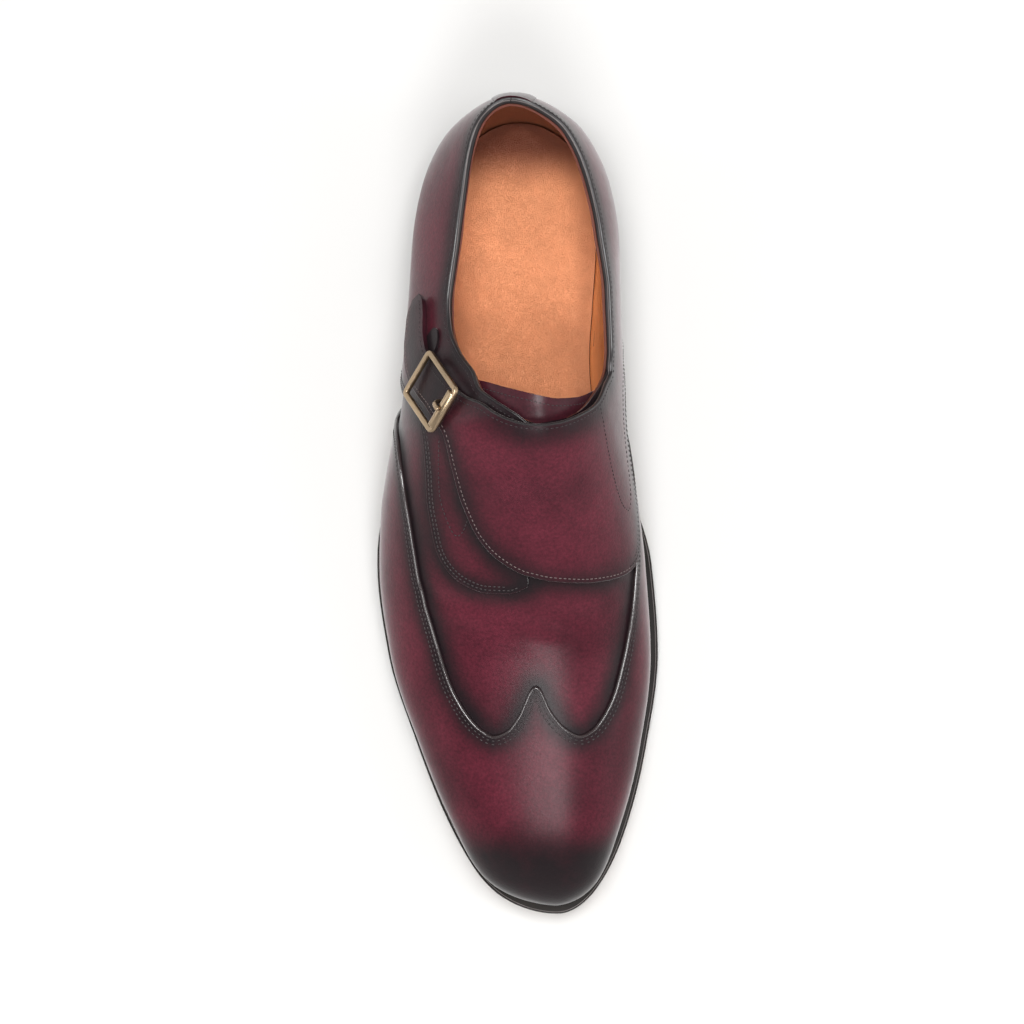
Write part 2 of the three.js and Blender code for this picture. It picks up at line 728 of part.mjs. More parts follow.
function strap() {
  const band = sheet({
    rows: strapPath.length - 1,
    columns: 5,
    place: strapPatch(0, 1),
    inner: (i) => strapRise(i) * strapLift,
    outer: (i) => strapRise(i) * strapLift + strapBody(i) * strapThickness,
  });
  const seat = buckleFrame();
  const drill = new THREE.CylinderGeometry(prongHole / 2, prongHole / 2, buckleWidth, 10);
  drill.rotateX(Math.PI / 2).translate(prongRoot, 0, 0);
  const turned = new THREE.Matrix4().makeBasis(seat.forward, seat.across, seat.off);
  drill.applyMatrix4(turned.setPosition(seat.middle));
  return geometryOf(solid(band).subtract(solid(drill)));
}

// The buckle's own frame: along the strap, across it, and off the last
function buckleFrame() {
  const on = (at, lift, across = 0.5) => {
    const { turn, round } = between(strapRear, strapFront)(at, across);
    return onLast(turn, round, lift);
  };
  const rear = on(buckleSeat.rear, buckleSeat.rearLift);
  const front = on(buckleSeat.front, buckleSeat.frontLift);
  const forward = front.clone().sub(rear).normalize();
  const middle = (buckleSeat.front + buckleSeat.rear) / 2;
  const across = on(middle, 0, 0).sub(on(middle, 0, 1));
  across.addScaledVector(forward, -across.dot(forward)).normalize();
  const off = new THREE.Vector3().crossVectors(forward, across);
  return { middle: rear.clone().add(front).multiplyScalar(0.5), forward, across, off };
}

function roundedRectangle(shape, width, height, corner, x = 0) {
  const [w, h] = [width / 2, height / 2];
  shape.moveTo(x - w + corner, -h);
  shape.lineTo(x + w - corner, -h);
  shape.absarc(x + w - corner, -h + corner, corner, -Math.PI / 2, 0);
  shape.lineTo(x + w, h - corner);
  shape.absarc(x + w - corner, h - corner, corner, 0, Math.PI / 2);
  shape.lineTo(x - w + corner, h);
  shape.absarc(x - w + corner, h - corner, corner, Math.PI / 2, Math.PI);
  shape.lineTo(x - w, -h + corner);
  shape.absarc(x - w + corner, -h + corner, corner, Math.PI, Math.PI * 1.5);
  return shape;
}

// A frame with a narrow rear bar and sides, and the roller round its front bar
const rollerX = (buckleLength - buckleFrontBar) / 2;
function buckle() {
  const shape = roundedRectangle(new THREE.Shape(), buckleLength, buckleWidth, buckleCorner);
  const inner = buckleLength - buckleBar - buckleFrontBar;
  const shift = (buckleBar - buckleFrontBar) / 2;
  const opening = buckleWidth - 2 * buckleBar;
  shape.holes.push(roundedRectangle(new THREE.Path(), inner, opening, buckleCorner / 3, shift));
  const frame = new THREE.ExtrudeGeometry(shape, {
    depth: buckleThickness, bevelEnabled: false, curveSegments: 4, steps: 1,
  });
  frame.translate(0, 0, -buckleThickness / 2);
  const roller = new THREE.CylinderGeometry(rollerDiameter / 2, rollerDiameter / 2, rollerLength, 14);
  return geometryOf(solid(frame).add(solid(roller.translate(rollerX, 0, 0))));
}

// The prong's tip: up through the strap's hole and over the roller
function prong() {
  const rest = rollerDiameter / 2 + gap + prongDiameter / 2;
  const path = new THREE.CatmullRomCurve3([
    new THREE.Vector3(prongRoot, 0, -rollerDiameter),
    new THREE.Vector3(prongRoot + gap, 0, -rollerDiameter / 2),
    new THREE.Vector3((prongRoot * 2 + rollerX) / 3, 0, prongDiameter / 2),
    new THREE.Vector3((prongRoot + rollerX * 2) / 3, 0, rest * 0.92),
    new THREE.Vector3(rollerX + prongDiameter / 2, 0, rest),
  ]);
  const section = new THREE.Shape();
  section.absarc(0, 0, prongDiameter / 2, 0, Math.PI * 2);
  return new THREE.ExtrudeGeometry(section, {
    steps: 8, curveSegments: 4, bevelEnabled: false, extrudePath: path,
  });
}

// The leather tab under the strap that holds the buckle to the quarter, with a rounded end
function buckleTab() {
  const base = overlayGap + quarterThickness + gap;
  return sheet({
    rows: 4,
    columns: 8,
    place: (i, j) => {
      const across = 1 - Math.cos((j * Math.PI) / 2);
      const inward = 1 - Math.min(across / tabSeat.round, 1);
      const half = tabSeat.half * Math.max(Math.sqrt(1 - inward * inward), tabSeat.blunt);
      const at = tabSeat.middle + half * (2 * i - 1);
      const share = (1 + tabSeat.beside + tabSeat.under) * across - tabSeat.beside;
      return between(strapRear, strapFront)(at, share);
    },
    inner: base,
    outer: base + tabThickness,
  });
}

function tongue() {
  return geometryOf(overlay(tongueThickness, {
    rows: 6,
    columns: 6,
    place: (i, j) => ({
      turn: turnAt(soleLength * (tongueTop + (tongueFront - tongueTop) * i)),
      round: 0.5 + tongueShare * (2 * j - 1),
    }),
  }, -upperWall - tongueClearance - tongueThickness));
}

// Colours of the pieces
const leather = { color: 0x6b2a38, roughness: 0.32, metalness: 0 };
const soleBlack = { color: 0x17130f, roughness: 0.4, metalness: 0 };
const materials = {
  outsole: soleBlack,
  welt: soleBlack,
  heel_stack: { color: 0x1c1510, roughness: 0.45, metalness: 0 },
  top_lift: { color: 0x0f0e0d, roughness: 0.7, metalness: 0 },
  insole: { color: 0xd88a5c, roughness: 0.6, metalness: 0 },
  upper: leather,
  collar_binding: { color: 0x3a161e, roughness: 0.4, metalness: 0 },
  tongue: leather,
  wing_cap: leather,
  quarter_lateral: leather,
  quarter_medial: leather,
  monk_strap: leather,
  buckle_frame: { color: 0x8a7444, roughness: 0.35, metalness: 1 },
  buckle_prong: { color: 0x8a7444, roughness: 0.35, metalness: 1 },
  buckle_tab: leather,
};

const shoe = new THREE.Group();
function add(name, geometry) {
  const part = geometry.clone();
  part.computeVertexNormals();
  const mesh = new THREE.Mesh(part, new THREE.MeshStandardMaterial(materials[name]));
  mesh.name = name;
  shoe.add(mesh);
  return mesh;
}

add("outsole", outsole());
add("welt", welt());
add("top_lift", topLift());
add("heel_stack", heelStack());
add("insole", insole());
add("upper", upper());
add("collar_binding", collarBinding());
add("tongue", tongue());
add("wing_cap", wingCap());
add("quarter_lateral", quarter(lateralEdge, -1));
add("quarter_medial", quarter(medialEdge, 1));
add("monk_strap", strap());
add("buckle_tab", buckleTab());

const seat = buckleFrame();
const turned = new THREE.Matrix4().makeBasis(seat.forward, seat.across, seat.off);
for (const mesh of [add("buckle_frame", buckle()), add("buckle_prong", prong())]) {
  mesh.quaternion.setFromRotationMatrix(turned);
  mesh.position.copy(seat.middle);
}

// The origin goes under the middle of the whole shoe
const bounds = new THREE.Box3().setFromObject(shoe);
const middle = bounds.getCenter(new THREE.Vector3());
for (const mesh of shoe.children) {
  mesh.position.x -= middle.x;
  mesh.position.y -= middle.y;
}

export default shoe;
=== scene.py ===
# Monk strap shoe, right foot: leather, stitching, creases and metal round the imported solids.
# Lengths are in millimetres until a mesh is made, which turns them into metres.
import math
import bmesh
import bpy
import numpy as np
from mathutils import Matrix, Vector


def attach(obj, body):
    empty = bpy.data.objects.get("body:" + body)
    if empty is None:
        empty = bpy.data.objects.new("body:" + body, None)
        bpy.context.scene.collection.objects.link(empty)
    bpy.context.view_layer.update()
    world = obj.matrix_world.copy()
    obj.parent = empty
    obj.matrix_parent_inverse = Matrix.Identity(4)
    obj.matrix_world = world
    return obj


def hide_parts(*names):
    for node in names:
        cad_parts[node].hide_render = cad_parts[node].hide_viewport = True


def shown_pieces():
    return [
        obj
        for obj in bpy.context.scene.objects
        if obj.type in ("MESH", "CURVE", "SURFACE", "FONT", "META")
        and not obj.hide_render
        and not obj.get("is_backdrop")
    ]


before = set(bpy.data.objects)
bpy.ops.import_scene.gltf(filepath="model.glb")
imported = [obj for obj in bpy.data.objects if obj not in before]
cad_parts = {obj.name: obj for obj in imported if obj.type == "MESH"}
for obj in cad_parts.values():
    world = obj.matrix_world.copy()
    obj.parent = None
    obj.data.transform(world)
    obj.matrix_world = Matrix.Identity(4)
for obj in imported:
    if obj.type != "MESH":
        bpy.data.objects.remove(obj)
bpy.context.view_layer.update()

# Driving sizes, the same as the solids have
SOLE = 305.0
BALL = 108.0
INSTEP = 107.0
SEAT = 26.4
HEEL_LENGTH = 83.0
TOE_WELT = 5.5
HEEL_SET = 2.5
OUTSOLE = 5.0
WELT = 2.8
TOP_LIFT = 7.0
INSOLE = 2.6
WALL = 2.0
GAP = 0.3
END_RADIUS = 30.0
LOWER = 0.2
UPPER = SOLE - TOE_WELT - HEEL_SET
SHIFT = np.array([0.042, -0.785, 0.0])
HEEL_CURVE = (2.5, 62.0, 34.0, 60.0)

# Sole edge from above: along, lateral, medial
SOLE_OUTLINE = [
    (0, 0, 0), (0.012, -0.142, 0.142), (0.042, -0.243, 0.241), (0.105, -0.305, 0.301),
    (0.19, -0.312, 0.307), (0.275, -0.325, 0.285), (0.36, -0.387, 0.282), (0.46, -0.477, 0.375),
    (0.56, -0.521, 0.458), (0.675, -0.481, 0.481), (0.79, -0.375, 0.44), (0.905, -0.235, 0.357),
    (0.97, -0.105, 0.262), (1, 0.125, 0.125),
]

# Underside of the outsole: along, height
SOLE_LINE = [
    (0, 1), (0.174, 0.72), (0.275, 0.645), (0.365, 0.535), (0.428, 0.35), (0.464, 0.222),
    (0.5, 0.125), (0.537, 0.05), (0.572, 0), (0.715, 0), (0.839, 0.136), (0.95, 0.288), (1, 0.35),
]

# Sections of the last, with the names of their columns
SECTION_NAMES = ("feather_lat", "feather_med", "bulge_lat", "bulge_med", "bulge_height",
                 "ridge", "ridge_height", "full_lat", "full_med")
LAST_SECTIONS = [
    (0, 0, 0, 0, 0, 0.51, 0, 1.12, 1.4, 1.4),
    (0.012, -0.125, 0.125, -0.13, 0.13, 0.51, 0.02, 1.12, 1.35, 1.5),
    (0.04, -0.21, 0.21, -0.232, 0.23, 0.5, 0.042, 1.1, 1.25, 1.6),
    (0.1, -0.273, 0.273, -0.315, 0.31, 0.48, 0.054, 1.03, 1.2, 1.7),
    (0.16, -0.285, 0.282, -0.347, 0.338, 0.47, 0.062, 0.975, 1.25, 1.9),
    (0.235, -0.29, 0.268, -0.362, 0.344, 0.465, 0.068, 0.955, 1.4, 2.5),
    (0.305, -0.32, 0.255, -0.38, 0.352, 0.45, 0.08, 0.975, 1.5, 2.4),
    (0.37, -0.37, 0.268, -0.405, 0.36, 0.41, 0.09, 1, 1.65, 2.05),
    (0.405, -0.4, 0.295, -0.422, 0.368, 0.38, 0.092, 0.977, 1.85, 1.95),
    (0.46, -0.44, 0.343, -0.453, 0.39, 0.335, 0.088, 0.88, 1.85, 1.9),
    (0.5, -0.462, 0.378, -0.472, 0.405, 0.3, 0.084, 0.8, 1.85, 1.9),
    (0.57, -0.477, 0.418, -0.482, 0.426, 0.255, 0.078, 0.678, 1.9, 1.95),
    (0.685, -0.44, 0.44, -0.444, 0.444, 0.225, 0.068, 0.519, 2, 2.05),
    (0.8, -0.336, 0.403, -0.339, 0.406, 0.23, 0.08, 0.472, 2.2, 2.2),
    (0.9, -0.217, 0.335, -0.22, 0.338, 0.242, 0.1, 0.428, 2.3, 2.3),
    (0.965, -0.112, 0.268, -0.114, 0.27, 0.235, 0.118, 0.348, 2.3, 2.3),
    (1, 0.125, 0.125, 0.125, 0.125, 0.19, 0.125, 0.215, 2.2, 2.2),
]

# Top line of the collar on each side: along, height
COLLAR_LATERAL = [
    (-0.05, 0.91), (0, 0.9), (0.04, 0.852), (0.085, 0.807), (0.15, 0.765), (0.22, 0.752),
    (0.265, 0.768), (0.3, 0.81), (0.32, 0.86), (0.337, 0.9), (0.356, 0.932), (0.369, 0.962),
    (0.379, 0.983), (0.388, 0.995), (0.4, 1.02),
]
COLLAR_MEDIAL = [
    (-0.05, 0.91), (0, 0.9), (0.04, 0.852), (0.085, 0.807), (0.15, 0.765), (0.22, 0.752),
    (0.265, 0.75), (0.3, 0.748), (0.325, 0.762), (0.34, 0.795), (0.355, 0.845), (0.373, 0.9),
    (0.386, 0.95), (0.4, 1.02),
]

# Rear edge of the wing cap: around, along
WING_EDGE = [
    (0, 0.355), (0.12, 0.368), (0.2, 0.384), (0.255, 0.407), (0.287, 0.442), (0.313, 0.487),
    (0.331, 0.54), (0.344, 0.59), (0.355, 0.63), (0.366, 0.67), (0.38, 0.715), (0.4, 0.748),
    (0.417, 0.763), (0.437, 0.771), (0.458, 0.765), (0.477, 0.746), (0.499, 0.71), (0.519, 0.74),
    (0.542, 0.76), (0.572, 0.77), (0.6, 0.763), (0.625, 0.745), (0.645, 0.722), (0.667, 0.68),
    (0.69, 0.637), (0.715, 0.59), (0.735, 0.55), (0.752, 0.51), (0.77, 0.475), (0.79, 0.445),
    (0.82, 0.418), (0.88, 0.39), (1, 0.372),
]

# Lower edge of the lateral quarter, from the back seam round to its front tip: around, along
LATERAL_EDGE = [
    (0, 0.0082), (0, 0.04), (0, 0.1), (0, 0.18), (0, 0.25), (0, 0.29), (0.09, 0.302),
    (0.17, 0.325), (0.26, 0.358), (0.325, 0.392), (0.345, 0.44), (0.357, 0.495), (0.372, 0.545),
    (0.388, 0.568), (0.407, 0.583), (0.438, 0.594), (0.465, 0.595), (0.488, 0.587),
]

# Its upper edge, by the same rows; None follows the collar
LATERAL_TOP = [
    (None, 0.0082), (None, 0.04), (None, 0.1), (None, 0.18), (None, 0.24), (None, 0.28),
    (None, 0.31), (None, 0.335), (0.405, 0.353), (0.43, 0.369), (0.455, 0.381), (0.475, 0.391),
    (0.487, 0.402), (0.49, 0.44), (0.488, 0.49), (0.487, 0.53), (0.486, 0.56), (0.489, 0.585),
]

# Medial quarter and the strap that it runs into, from the back seam to the strap's tip:
# lower around and along, upper around (None follows the collar) and along, lift, thickness
PANEL = [
    (1, 0.0082, None, 0.0082, 0.2, 1.3), (1, 0.04, None, 0.04, 0.2, 1.3),
    (1, 0.1, None, 0.1, 0.2, 1.3), (1, 0.18, None, 0.18, 0.2, 1.3),
    (1, 0.25, None, 0.235, 0.2, 1.3), (1, 0.29, None, 0.265, 0.2, 1.3),
    (0.92, 0.3, None, 0.283, 0.2, 1.3), (0.86, 0.314, None, 0.297, 0.2, 1.3),
    (0.815, 0.335, None, 0.309, 0.25, 1.35), (0.785, 0.368, None, 0.321, 0.3, 1.4),
    (0.765, 0.41, 0.694, 0.334, 0.45, 1.5), (0.752, 0.46, 0.671, 0.349, 0.7, 1.7),
    (0.741, 0.51, 0.652, 0.3635, 1.1, 1.95), (0.722, 0.545, 0.632, 0.3755, 1.5, 2.1),
    (0.69, 0.564, 0.603, 0.3855, 1.9, 2.3), (0.63, 0.577, 0.57, 0.394, 2.2, 2.4),
    (0.58, 0.58, 0.54, 0.399, 2.3, 2.4), (0.53, 0.578, 0.51, 0.401, 2.3, 2.4),
    (0.49, 0.572, 0.485, 0.4, 2.3, 2.4), (0.457, 0.555, 0.463, 0.395, 2.3, 2.4),
    (0.43, 0.527, 0.442, 0.387, 2.3, 2.4), (0.411, 0.49, 0.42, 0.376, 2.3, 2.4),
    (0.3943, 0.4477, 0.3997, 0.3694, 2.3, 2.1), (0.376, 0.4068, 0.382, 0.3602, 2.3, 1.82),
    (0.3477, 0.3827, 0.3593, 0.3433, 2.53, 1.82), (0.3168, 0.3605, 0.3372, 0.3245, 2.88, 1.82),
    (0.2896, 0.34, 0.3204, 0.3071, 3.0, 1.82), (0.274, 0.318, 0.312, 0.286, 3.0, 1.82),
    (0.2672, 0.2944, 0.3088, 0.2656, 3.0, 1.82), (0.2675, 0.2702, 0.3045, 0.2508, 3.0, 1.82),
    (0.2795, 0.2494, 0.2955, 0.2426, 3.0, 1.7),
]

MM = 0.001


# Reading the tables
def cubic(x, y):
    """A monotone cubic through points, read at any array of places."""
    x, y = np.asarray(x, float), np.asarray(y, float)
    slope = np.diff(y) / np.diff(x)
    both = slope[:-1] * slope[1:]
    total = np.where(both > 0, slope[:-1] + slope[1:], 1)
    middle = np.where(both > 0, 2 * both / total, 0)
    tangent = np.concatenate([slope[:1], middle, slope[-1:]])

    def read(at):
        at = np.clip(at, x[0], x[-1])
        i = np.clip(np.searchsorted(x, at, side="left") - 1, 0, len(x) - 2)
        span = x[i + 1] - x[i]
        u = (at - x[i]) / span
        rise = u * u * (3 - 2 * u)
        leave = u * (1 - u) ** 2 * span * tangent[i]
        arrive = u * u * (1 - u) * span * tangent[i + 1]
        return y[i] + (y[i + 1] - y[i]) * rise + leave - arrive
    return read


def turn_of(share):
    return np.arccos(1 - 2 * np.clip(share, 0, 1)) / np.pi


def turn_at(s):
    return turn_of((s - HEEL_SET) / UPPER)


def columns_of(table, by_turn=False):
    """A cubic for each column of a table, over its first one or the turn of that."""
    keys = [float(turn_of(row[0])) if by_turn else row[0] for row in table]
    return [cubic(keys, [row[i] for row in table]) for i in range(1, len(table[0]))]


sole_lateral, sole_medial = columns_of(SOLE_OUTLINE, True)
sole_height = columns_of(SOLE_LINE)[0]
collar_lateral = columns_of(COLLAR_LATERAL)[0]
collar_medial = columns_of(COLLAR_MEDIAL)[0]
section = dict(zip(SECTION_NAMES, columns_of(LAST_SECTIONS, True)))
MIDDLE_X = BALL * (min(row[1] for row in SOLE_OUTLINE) + max(row[2] for row in SOLE_OUTLINE)) / 2


def outsole_bottom(s):
    return sole_height(s / SOLE) * SEAT


def feather(s):
    return outsole_bottom(s) + OUTSOLE + WELT + 2 * GAP


def collar_top(s, side):
    return (collar_lateral if side < 0 else collar_medial)(s / SOLE) * INSTEP


def place_xyz(x, s, z):
    return np.stack([x - MIDDLE_X, SOLE / 2 - s, z], -1) + SHIFT


def along_of(points):
    """The distance from the back of the heel, of points in the row frame."""
    return SOLE / 2 - (points[..., 1] - SHIFT[1])


def feather_under(points):
    """The height of the welt's top under points."""
    return feather(np.clip(along_of(points), 0, SOLE))


def unit(vectors):
    return vectors / (np.linalg.norm(vectors, axis=-1, keepdims=True) + 1e-9)


def run_of(points):
    """The length of the way to each point of a line."""
    return np.concatenate([[0], np.cumsum(np.linalg.norm(np.diff(points, axis=0), axis=-1))])


# Creases of the leather: along, around, half length in around, half width, depth, slant
CREASES = [
    (0.612, 0.44, 0.055, 3.2, 0.34, 0.12),
    (0.628, 0.56, 0.06, 3.4, 0.3, -0.1),
    (0.65, 0.5, 0.05, 3.0, 0.2, 0.05),
    (0.6, 0.36, 0.03, 2.8, 0.3, 0.3),
    (0.585, 0.66, 0.035, 2.8, 0.34, -0.3),
]
CREASE_RUN = 60
CREASE_WAVE = 1.5


def folds(turn, around):
    s = HEEL_SET + UPPER * (1 - np.cos(np.pi * turn)) / 2
    depth = np.zeros(np.broadcast(turn, around).shape)
    for along, centre, half, width, deep, slant in CREASES:
        across = (around - centre) / half
        line = along * SOLE + slant * CREASE_RUN * (around - centre)
        line = line + CREASE_WAVE * np.sin(across * 2.1)
        near = (s - line) / width
        fade = np.exp(-across ** 2)
        depth -= deep * fade * (np.exp(-near ** 2) - 0.55 * np.exp(-((np.abs(near) - 1.9) ** 2)))
    return depth


def on_last(turn, around, offset=0.0, creased=True):
    """The upper's outer surface, or one offset from it."""
    turn, around, offset = np.broadcast_arrays(
        np.asarray(turn, float), np.asarray(around, float), np.asarray(offset, float))
    if creased:
        offset = offset + folds(turn, around)
    s = HEEL_SET + UPPER / 2 - (UPPER / 2 + offset) * np.cos(np.pi * turn)
    medial = around > 0.5
    side = np.where(medial, 1.0, -1.0)
    up = np.where(medial, 1 - around, around)
    ridge = section["ridge"](turn) * BALL

    def pushed(name):
        x = np.where(medial, section[name + "_med"](turn), section[name + "_lat"](turn)) * BALL
        return x + side * offset * np.minimum(np.abs(x - ridge) / END_RADIUS, 1)
    foot, bulge = pushed("feather"), pushed("bulge")
    full = np.where(medial, section["full_med"](turn), section["full_lat"](turn))
    base = feather(np.clip(s, 0, SOLE))
    middle = section["bulge_height"](turn) * INSTEP
    top = section["ridge_height"](turn) * INSTEP + offset
    low = np.clip(up / LOWER, 0, 1) * np.pi / 2
    high = np.clip((up - LOWER) / (0.5 - LOWER), 0, 1) * np.pi / 2
    lower = up < LOWER
    x = np.where(lower, foot + (bulge - foot) * np.sin(low),
                 ridge + (bulge - ridge) * np.maximum(np.cos(high), 0) ** (2 / full))
    z = np.where(lower, base + (middle - base) * (1 - np.cos(low)),
                 middle + (top - middle) * np.sin(high) ** (2 / full))
    depth, height, reach, fade = HEEL_CURVE
    fading = np.maximum(1 - np.maximum(s, 0) / fade, 0) ** 2
    lean = depth * (2 * ((z - height) / reach) ** 2 - 1) * fading
    return place_xyz(x, s + lean, z)


def collar_around(turn, side, lowered):
    """The place round the last where its surface meets the collar line."""
    turn = np.asarray(turn, float)
    low, high = np.full(turn.shape, LOWER), np.full(turn.shape, 0.5)
    for _ in range(40):
        middle = (low + high) / 2
        p = on_last(turn, middle if side < 0 else 1 - middle, 0, False)
        under = p[..., 2] < collar_top(along_of(p), side) - lowered
        low, high = np.where(under, middle, low), np.where(under, high, middle)
    return low if side < 0 else 1 - low


# Meshes
def mesh_of(name, points, faces, mat, join=0.008, sharp=40, materials=()):
    """A smooth piece from points and faces; points nearer than join become one."""
    mesh = bpy.data.meshes.new(name)
    mesh.from_pydata((np.asarray(points).reshape(-1, 3) * MM).tolist(), [], [list(f) for f in faces])
    work = bmesh.new()
    work.from_mesh(mesh)
    if join:
        bmesh.ops.remove_doubles(work, verts=work.verts, dist=join * MM)
        bmesh.ops.dissolve_degenerate(work, edges=work.edges, dist=1e-7)
    bmesh.ops.recalc_face_normals(work, faces=work.faces)
    work.to_mesh(mesh)
    work.free()
    for polygon in mesh.polygons:
        polygon.use_smooth = True
    if sharp:
        mesh.set_sharp_from_angle(angle=math.radians(sharp))
    for used in (mat, *materials):
        mesh.materials.append(used)
    piece = bpy.data.objects.new(name, mesh)
    bpy.context.scene.collection.objects.link(piece)
    return piece


def quads(index):
    """Faces between the neighbours of a grid of points."""
    corners = [index[:-1, :-1], index[1:, :-1], index[1:, 1:], index[:-1, 1:]]
    return np.stack(corners, -1).reshape(-1, 4)


def rim(line, count):
    """Faces from a line of points to the same line of the other side, count places on."""
    return np.stack([line[:-1], line[1:], line[1:] + count, line[:-1] + count], -1)


def thick_sheet(name, top, under, mat, folded=False):
    """A closed sheet between two grids of points."""
    count = top.shape[0] * top.shape[1]
    index = np.arange(count).reshape(top.shape[:2])
    faces = [quads(index), quads(index)[:, ::-1] + count,
             rim(index[:, 0], count), rim(index[:, -1], count), rim(index[0], count)]
    if not folded:
        faces.append(rim(index[-1], count))
    points = np.concatenate([top.reshape(-1, 3), under.reshape(-1, 3)])
    return mesh_of(name, points, np.concatenate(faces), mat)


def round_ahead(loop):
    """The direction of travel at each point of a closed line."""
    return unit(np.roll(loop, -1, 0) - np.roll(loop, 1, 0))


def above_feather(points):
    points = points.copy()
    points[..., 2] = np.maximum(points[..., 2], feather_under(points) + GAP)
    return points


def edge_curve(rows):
    """A curve over 0 to 1 through (around, along) rows, at even shares of them."""
    key = np.linspace(0, 1, len(rows))
    around = cubic(key, [row[0] for row in rows])
    along = cubic(key, [row[1] for row in rows])
    return lambda u: (turn_at(along(u) * SOLE), around(u))


def trace(curve, step, lift, start=0.0, end=1.0):
    """Places at even steps of length along a curve on the last."""
    u = np.linspace(start, end, 1500)
    p = on_last(*curve(u), lift)
    run = run_of(p)
    count = max(int(run[-1] / step), 2)
    return curve(np.interp(np.linspace(0, run[-1], count + 1), run, u))


def frame_at(turn, around, lift=0.0):
    """Point, direction of travel, and outward direction along a run of places."""
    p = on_last(turn, around, lift)
    out = on_last(turn, around, lift + 1.0, False) - on_last(turn, around, lift, False)
    ahead = unit(np.gradient(p, axis=0))
    out -= ahead * np.sum(out * ahead, -1, keepdims=True)
    return p, ahead, unit(out)


def beside(turn, around, distance):
    """A run of places moved sideways on the last: to the left of its travel, seen from outside."""
    p, ahead, out = frame_at(turn, around)
    target = p + np.cross(out, ahead) * distance
    t, r = turn, around
    e = 1e-4
    for _ in range(3):
        now = on_last(t, r)
        du = (on_last(t + e, r) - on_last(t - e, r)) / (2 * e)
        dv = (on_last(t, r + e) - on_last(t, r - e)) / (2 * e)
        gap = target - now
        a, b, c = (np.sum(du * du, -1), np.sum(du * dv, -1), np.sum(dv * dv, -1))
        f, g = np.sum(du * gap, -1), np.sum(dv * gap, -1)
        d = a * c - b * b + 1e-9
        t = t + np.clip((c * f - b * g) / d, -0.02, 0.02)
        r = r + np.clip((a * g - b * f) / d, -0.02, 0.02)
    return t, r


def ring_faces(rings, sides, closed=False, capped=True):
    """Quads between neighbouring rings of points, with a cap at each end of an open run."""
    a = np.arange(sides)
    b = np.roll(a, -1)
    faces = []
    for n in range(rings if closed else rings - 1):
        here, there = n * sides, (n + 1) % rings * sides
        faces += np.stack([here + a, here + b, there + b, there + a], -1).tolist()
    if capped and not closed:
        faces.append(a[::-1].tolist())
        faces.append(((rings - 1) * sides + a).tolist())
    return faces


def tube(name, p, ahead, out, half_width, half_height, mat, slot, sides=10, closed=False):
    """A rounded bead swept along points; its half sizes may change along it."""
    side = np.cross(out, ahead)
    angle = np.linspace(0, 2 * np.pi, sides, endpoint=False)[None, :, None]
    rings = (p[:, None] + side[:, None] * (half_width * np.cos(angle))
             + out[:, None] * (half_height * np.sin(angle)))
    return mesh_of(name, rings, ring_faces(len(p), sides, closed), mat, join=0, sharp=60)


def stitches(name, p, ahead, out, length, radius, mat):
    """Short rounded threads lying on the surface, one at each point."""
    rings = [(-0.5, 0.0), (-0.36, 0.8), (0.0, 1.0), (0.36, 0.8), (0.5, 0.0)]
    sides = 6
    angle = np.linspace(0, 2 * np.pi, sides, endpoint=False)
    side = np.cross(out, ahead)
    verts, faces = [], []
    for k in range(len(p)):
        start = len(verts)
        for share, size in rings:
            centre = p[k] + ahead[k] * share * length
            if size == 0:
                verts.append(centre)
                continue
            for a in angle:
                verts.append(centre + (side[k] * np.cos(a) + out[k] * np.sin(a)) * radius * size)
        for band in range(2):
            a, b = start + 1 + band * sides, start + 1 + (band + 1) * sides
            for j in range(sides):
                m = (j + 1) % sides
                faces.append((a + j, a + m, b + m, b + j))
        last = start + 1 + 3 * sides
        for j in range(sides):
            m = (j + 1) % sides
            faces.append((start, start + 1 + m, start + 1 + j))
            faces.append((last, last - sides + j, last - sides + m))
    mesh_of(name, verts, faces, mat, join=0, sharp=0)


# Materials
def material(name):
    made = bpy.data.materials.new(name)
    made.use_nodes = True
    tree = made.node_tree
    tree.nodes.clear()
    out = tree.nodes.new("ShaderNodeOutputMaterial")
    shader = tree.nodes.new("ShaderNodeBsdfPrincipled")
    tree.links.new(shader.outputs[0], out.inputs[0])
    return made, tree, shader


def node(tree, kind, **settings):
    made = tree.nodes.new(kind)
    for key, value in settings.items():
        if key in made.inputs.keys():
            made.inputs[key].default_value = value
        else:
            setattr(made, key, value)
    return made


def feed(tree, socket, value):
    """Gives a socket a number, a colour or another node's output."""
    if isinstance(value, (int, float)):
        socket.default_value = value
    elif isinstance(value, tuple):
        socket.default_value = (*value, 1)
    else:
        tree.links.new(value, socket)


def paint(tree, shader, **values):
    """Sets the shader's own sockets, named with _ for each space."""
    for name, value in values.items():
        feed(tree, shader.inputs[name.replace("_", " ")], value)


def read_burnish_and_shade(tree):
    return node(tree, "ShaderNodeAttribute", attribute_name="burnish_and_shade").outputs["Fac"]


def place_on(tree):
    return node(tree, "ShaderNodeTexCoord").outputs["Object"]


def noise(tree, scale, detail=3.0, rough=0.5, vector=None):
    made = node(tree, "ShaderNodeTexNoise", Scale=scale, Detail=detail, Roughness=rough)
    tree.links.new(vector or place_on(tree), made.inputs["Vector"])
    return made.outputs[0]


def ramp(tree, source, stops):
    made = node(tree, "ShaderNodeValToRGB")
    elements = made.color_ramp.elements
    while len(elements) < len(stops):
        elements.new(0.5)
    for element, (at, colour) in zip(elements, stops):
        element.position = at
        element.color = (*colour, 1)
    tree.links.new(source, made.inputs[0])
    return made.outputs[0]


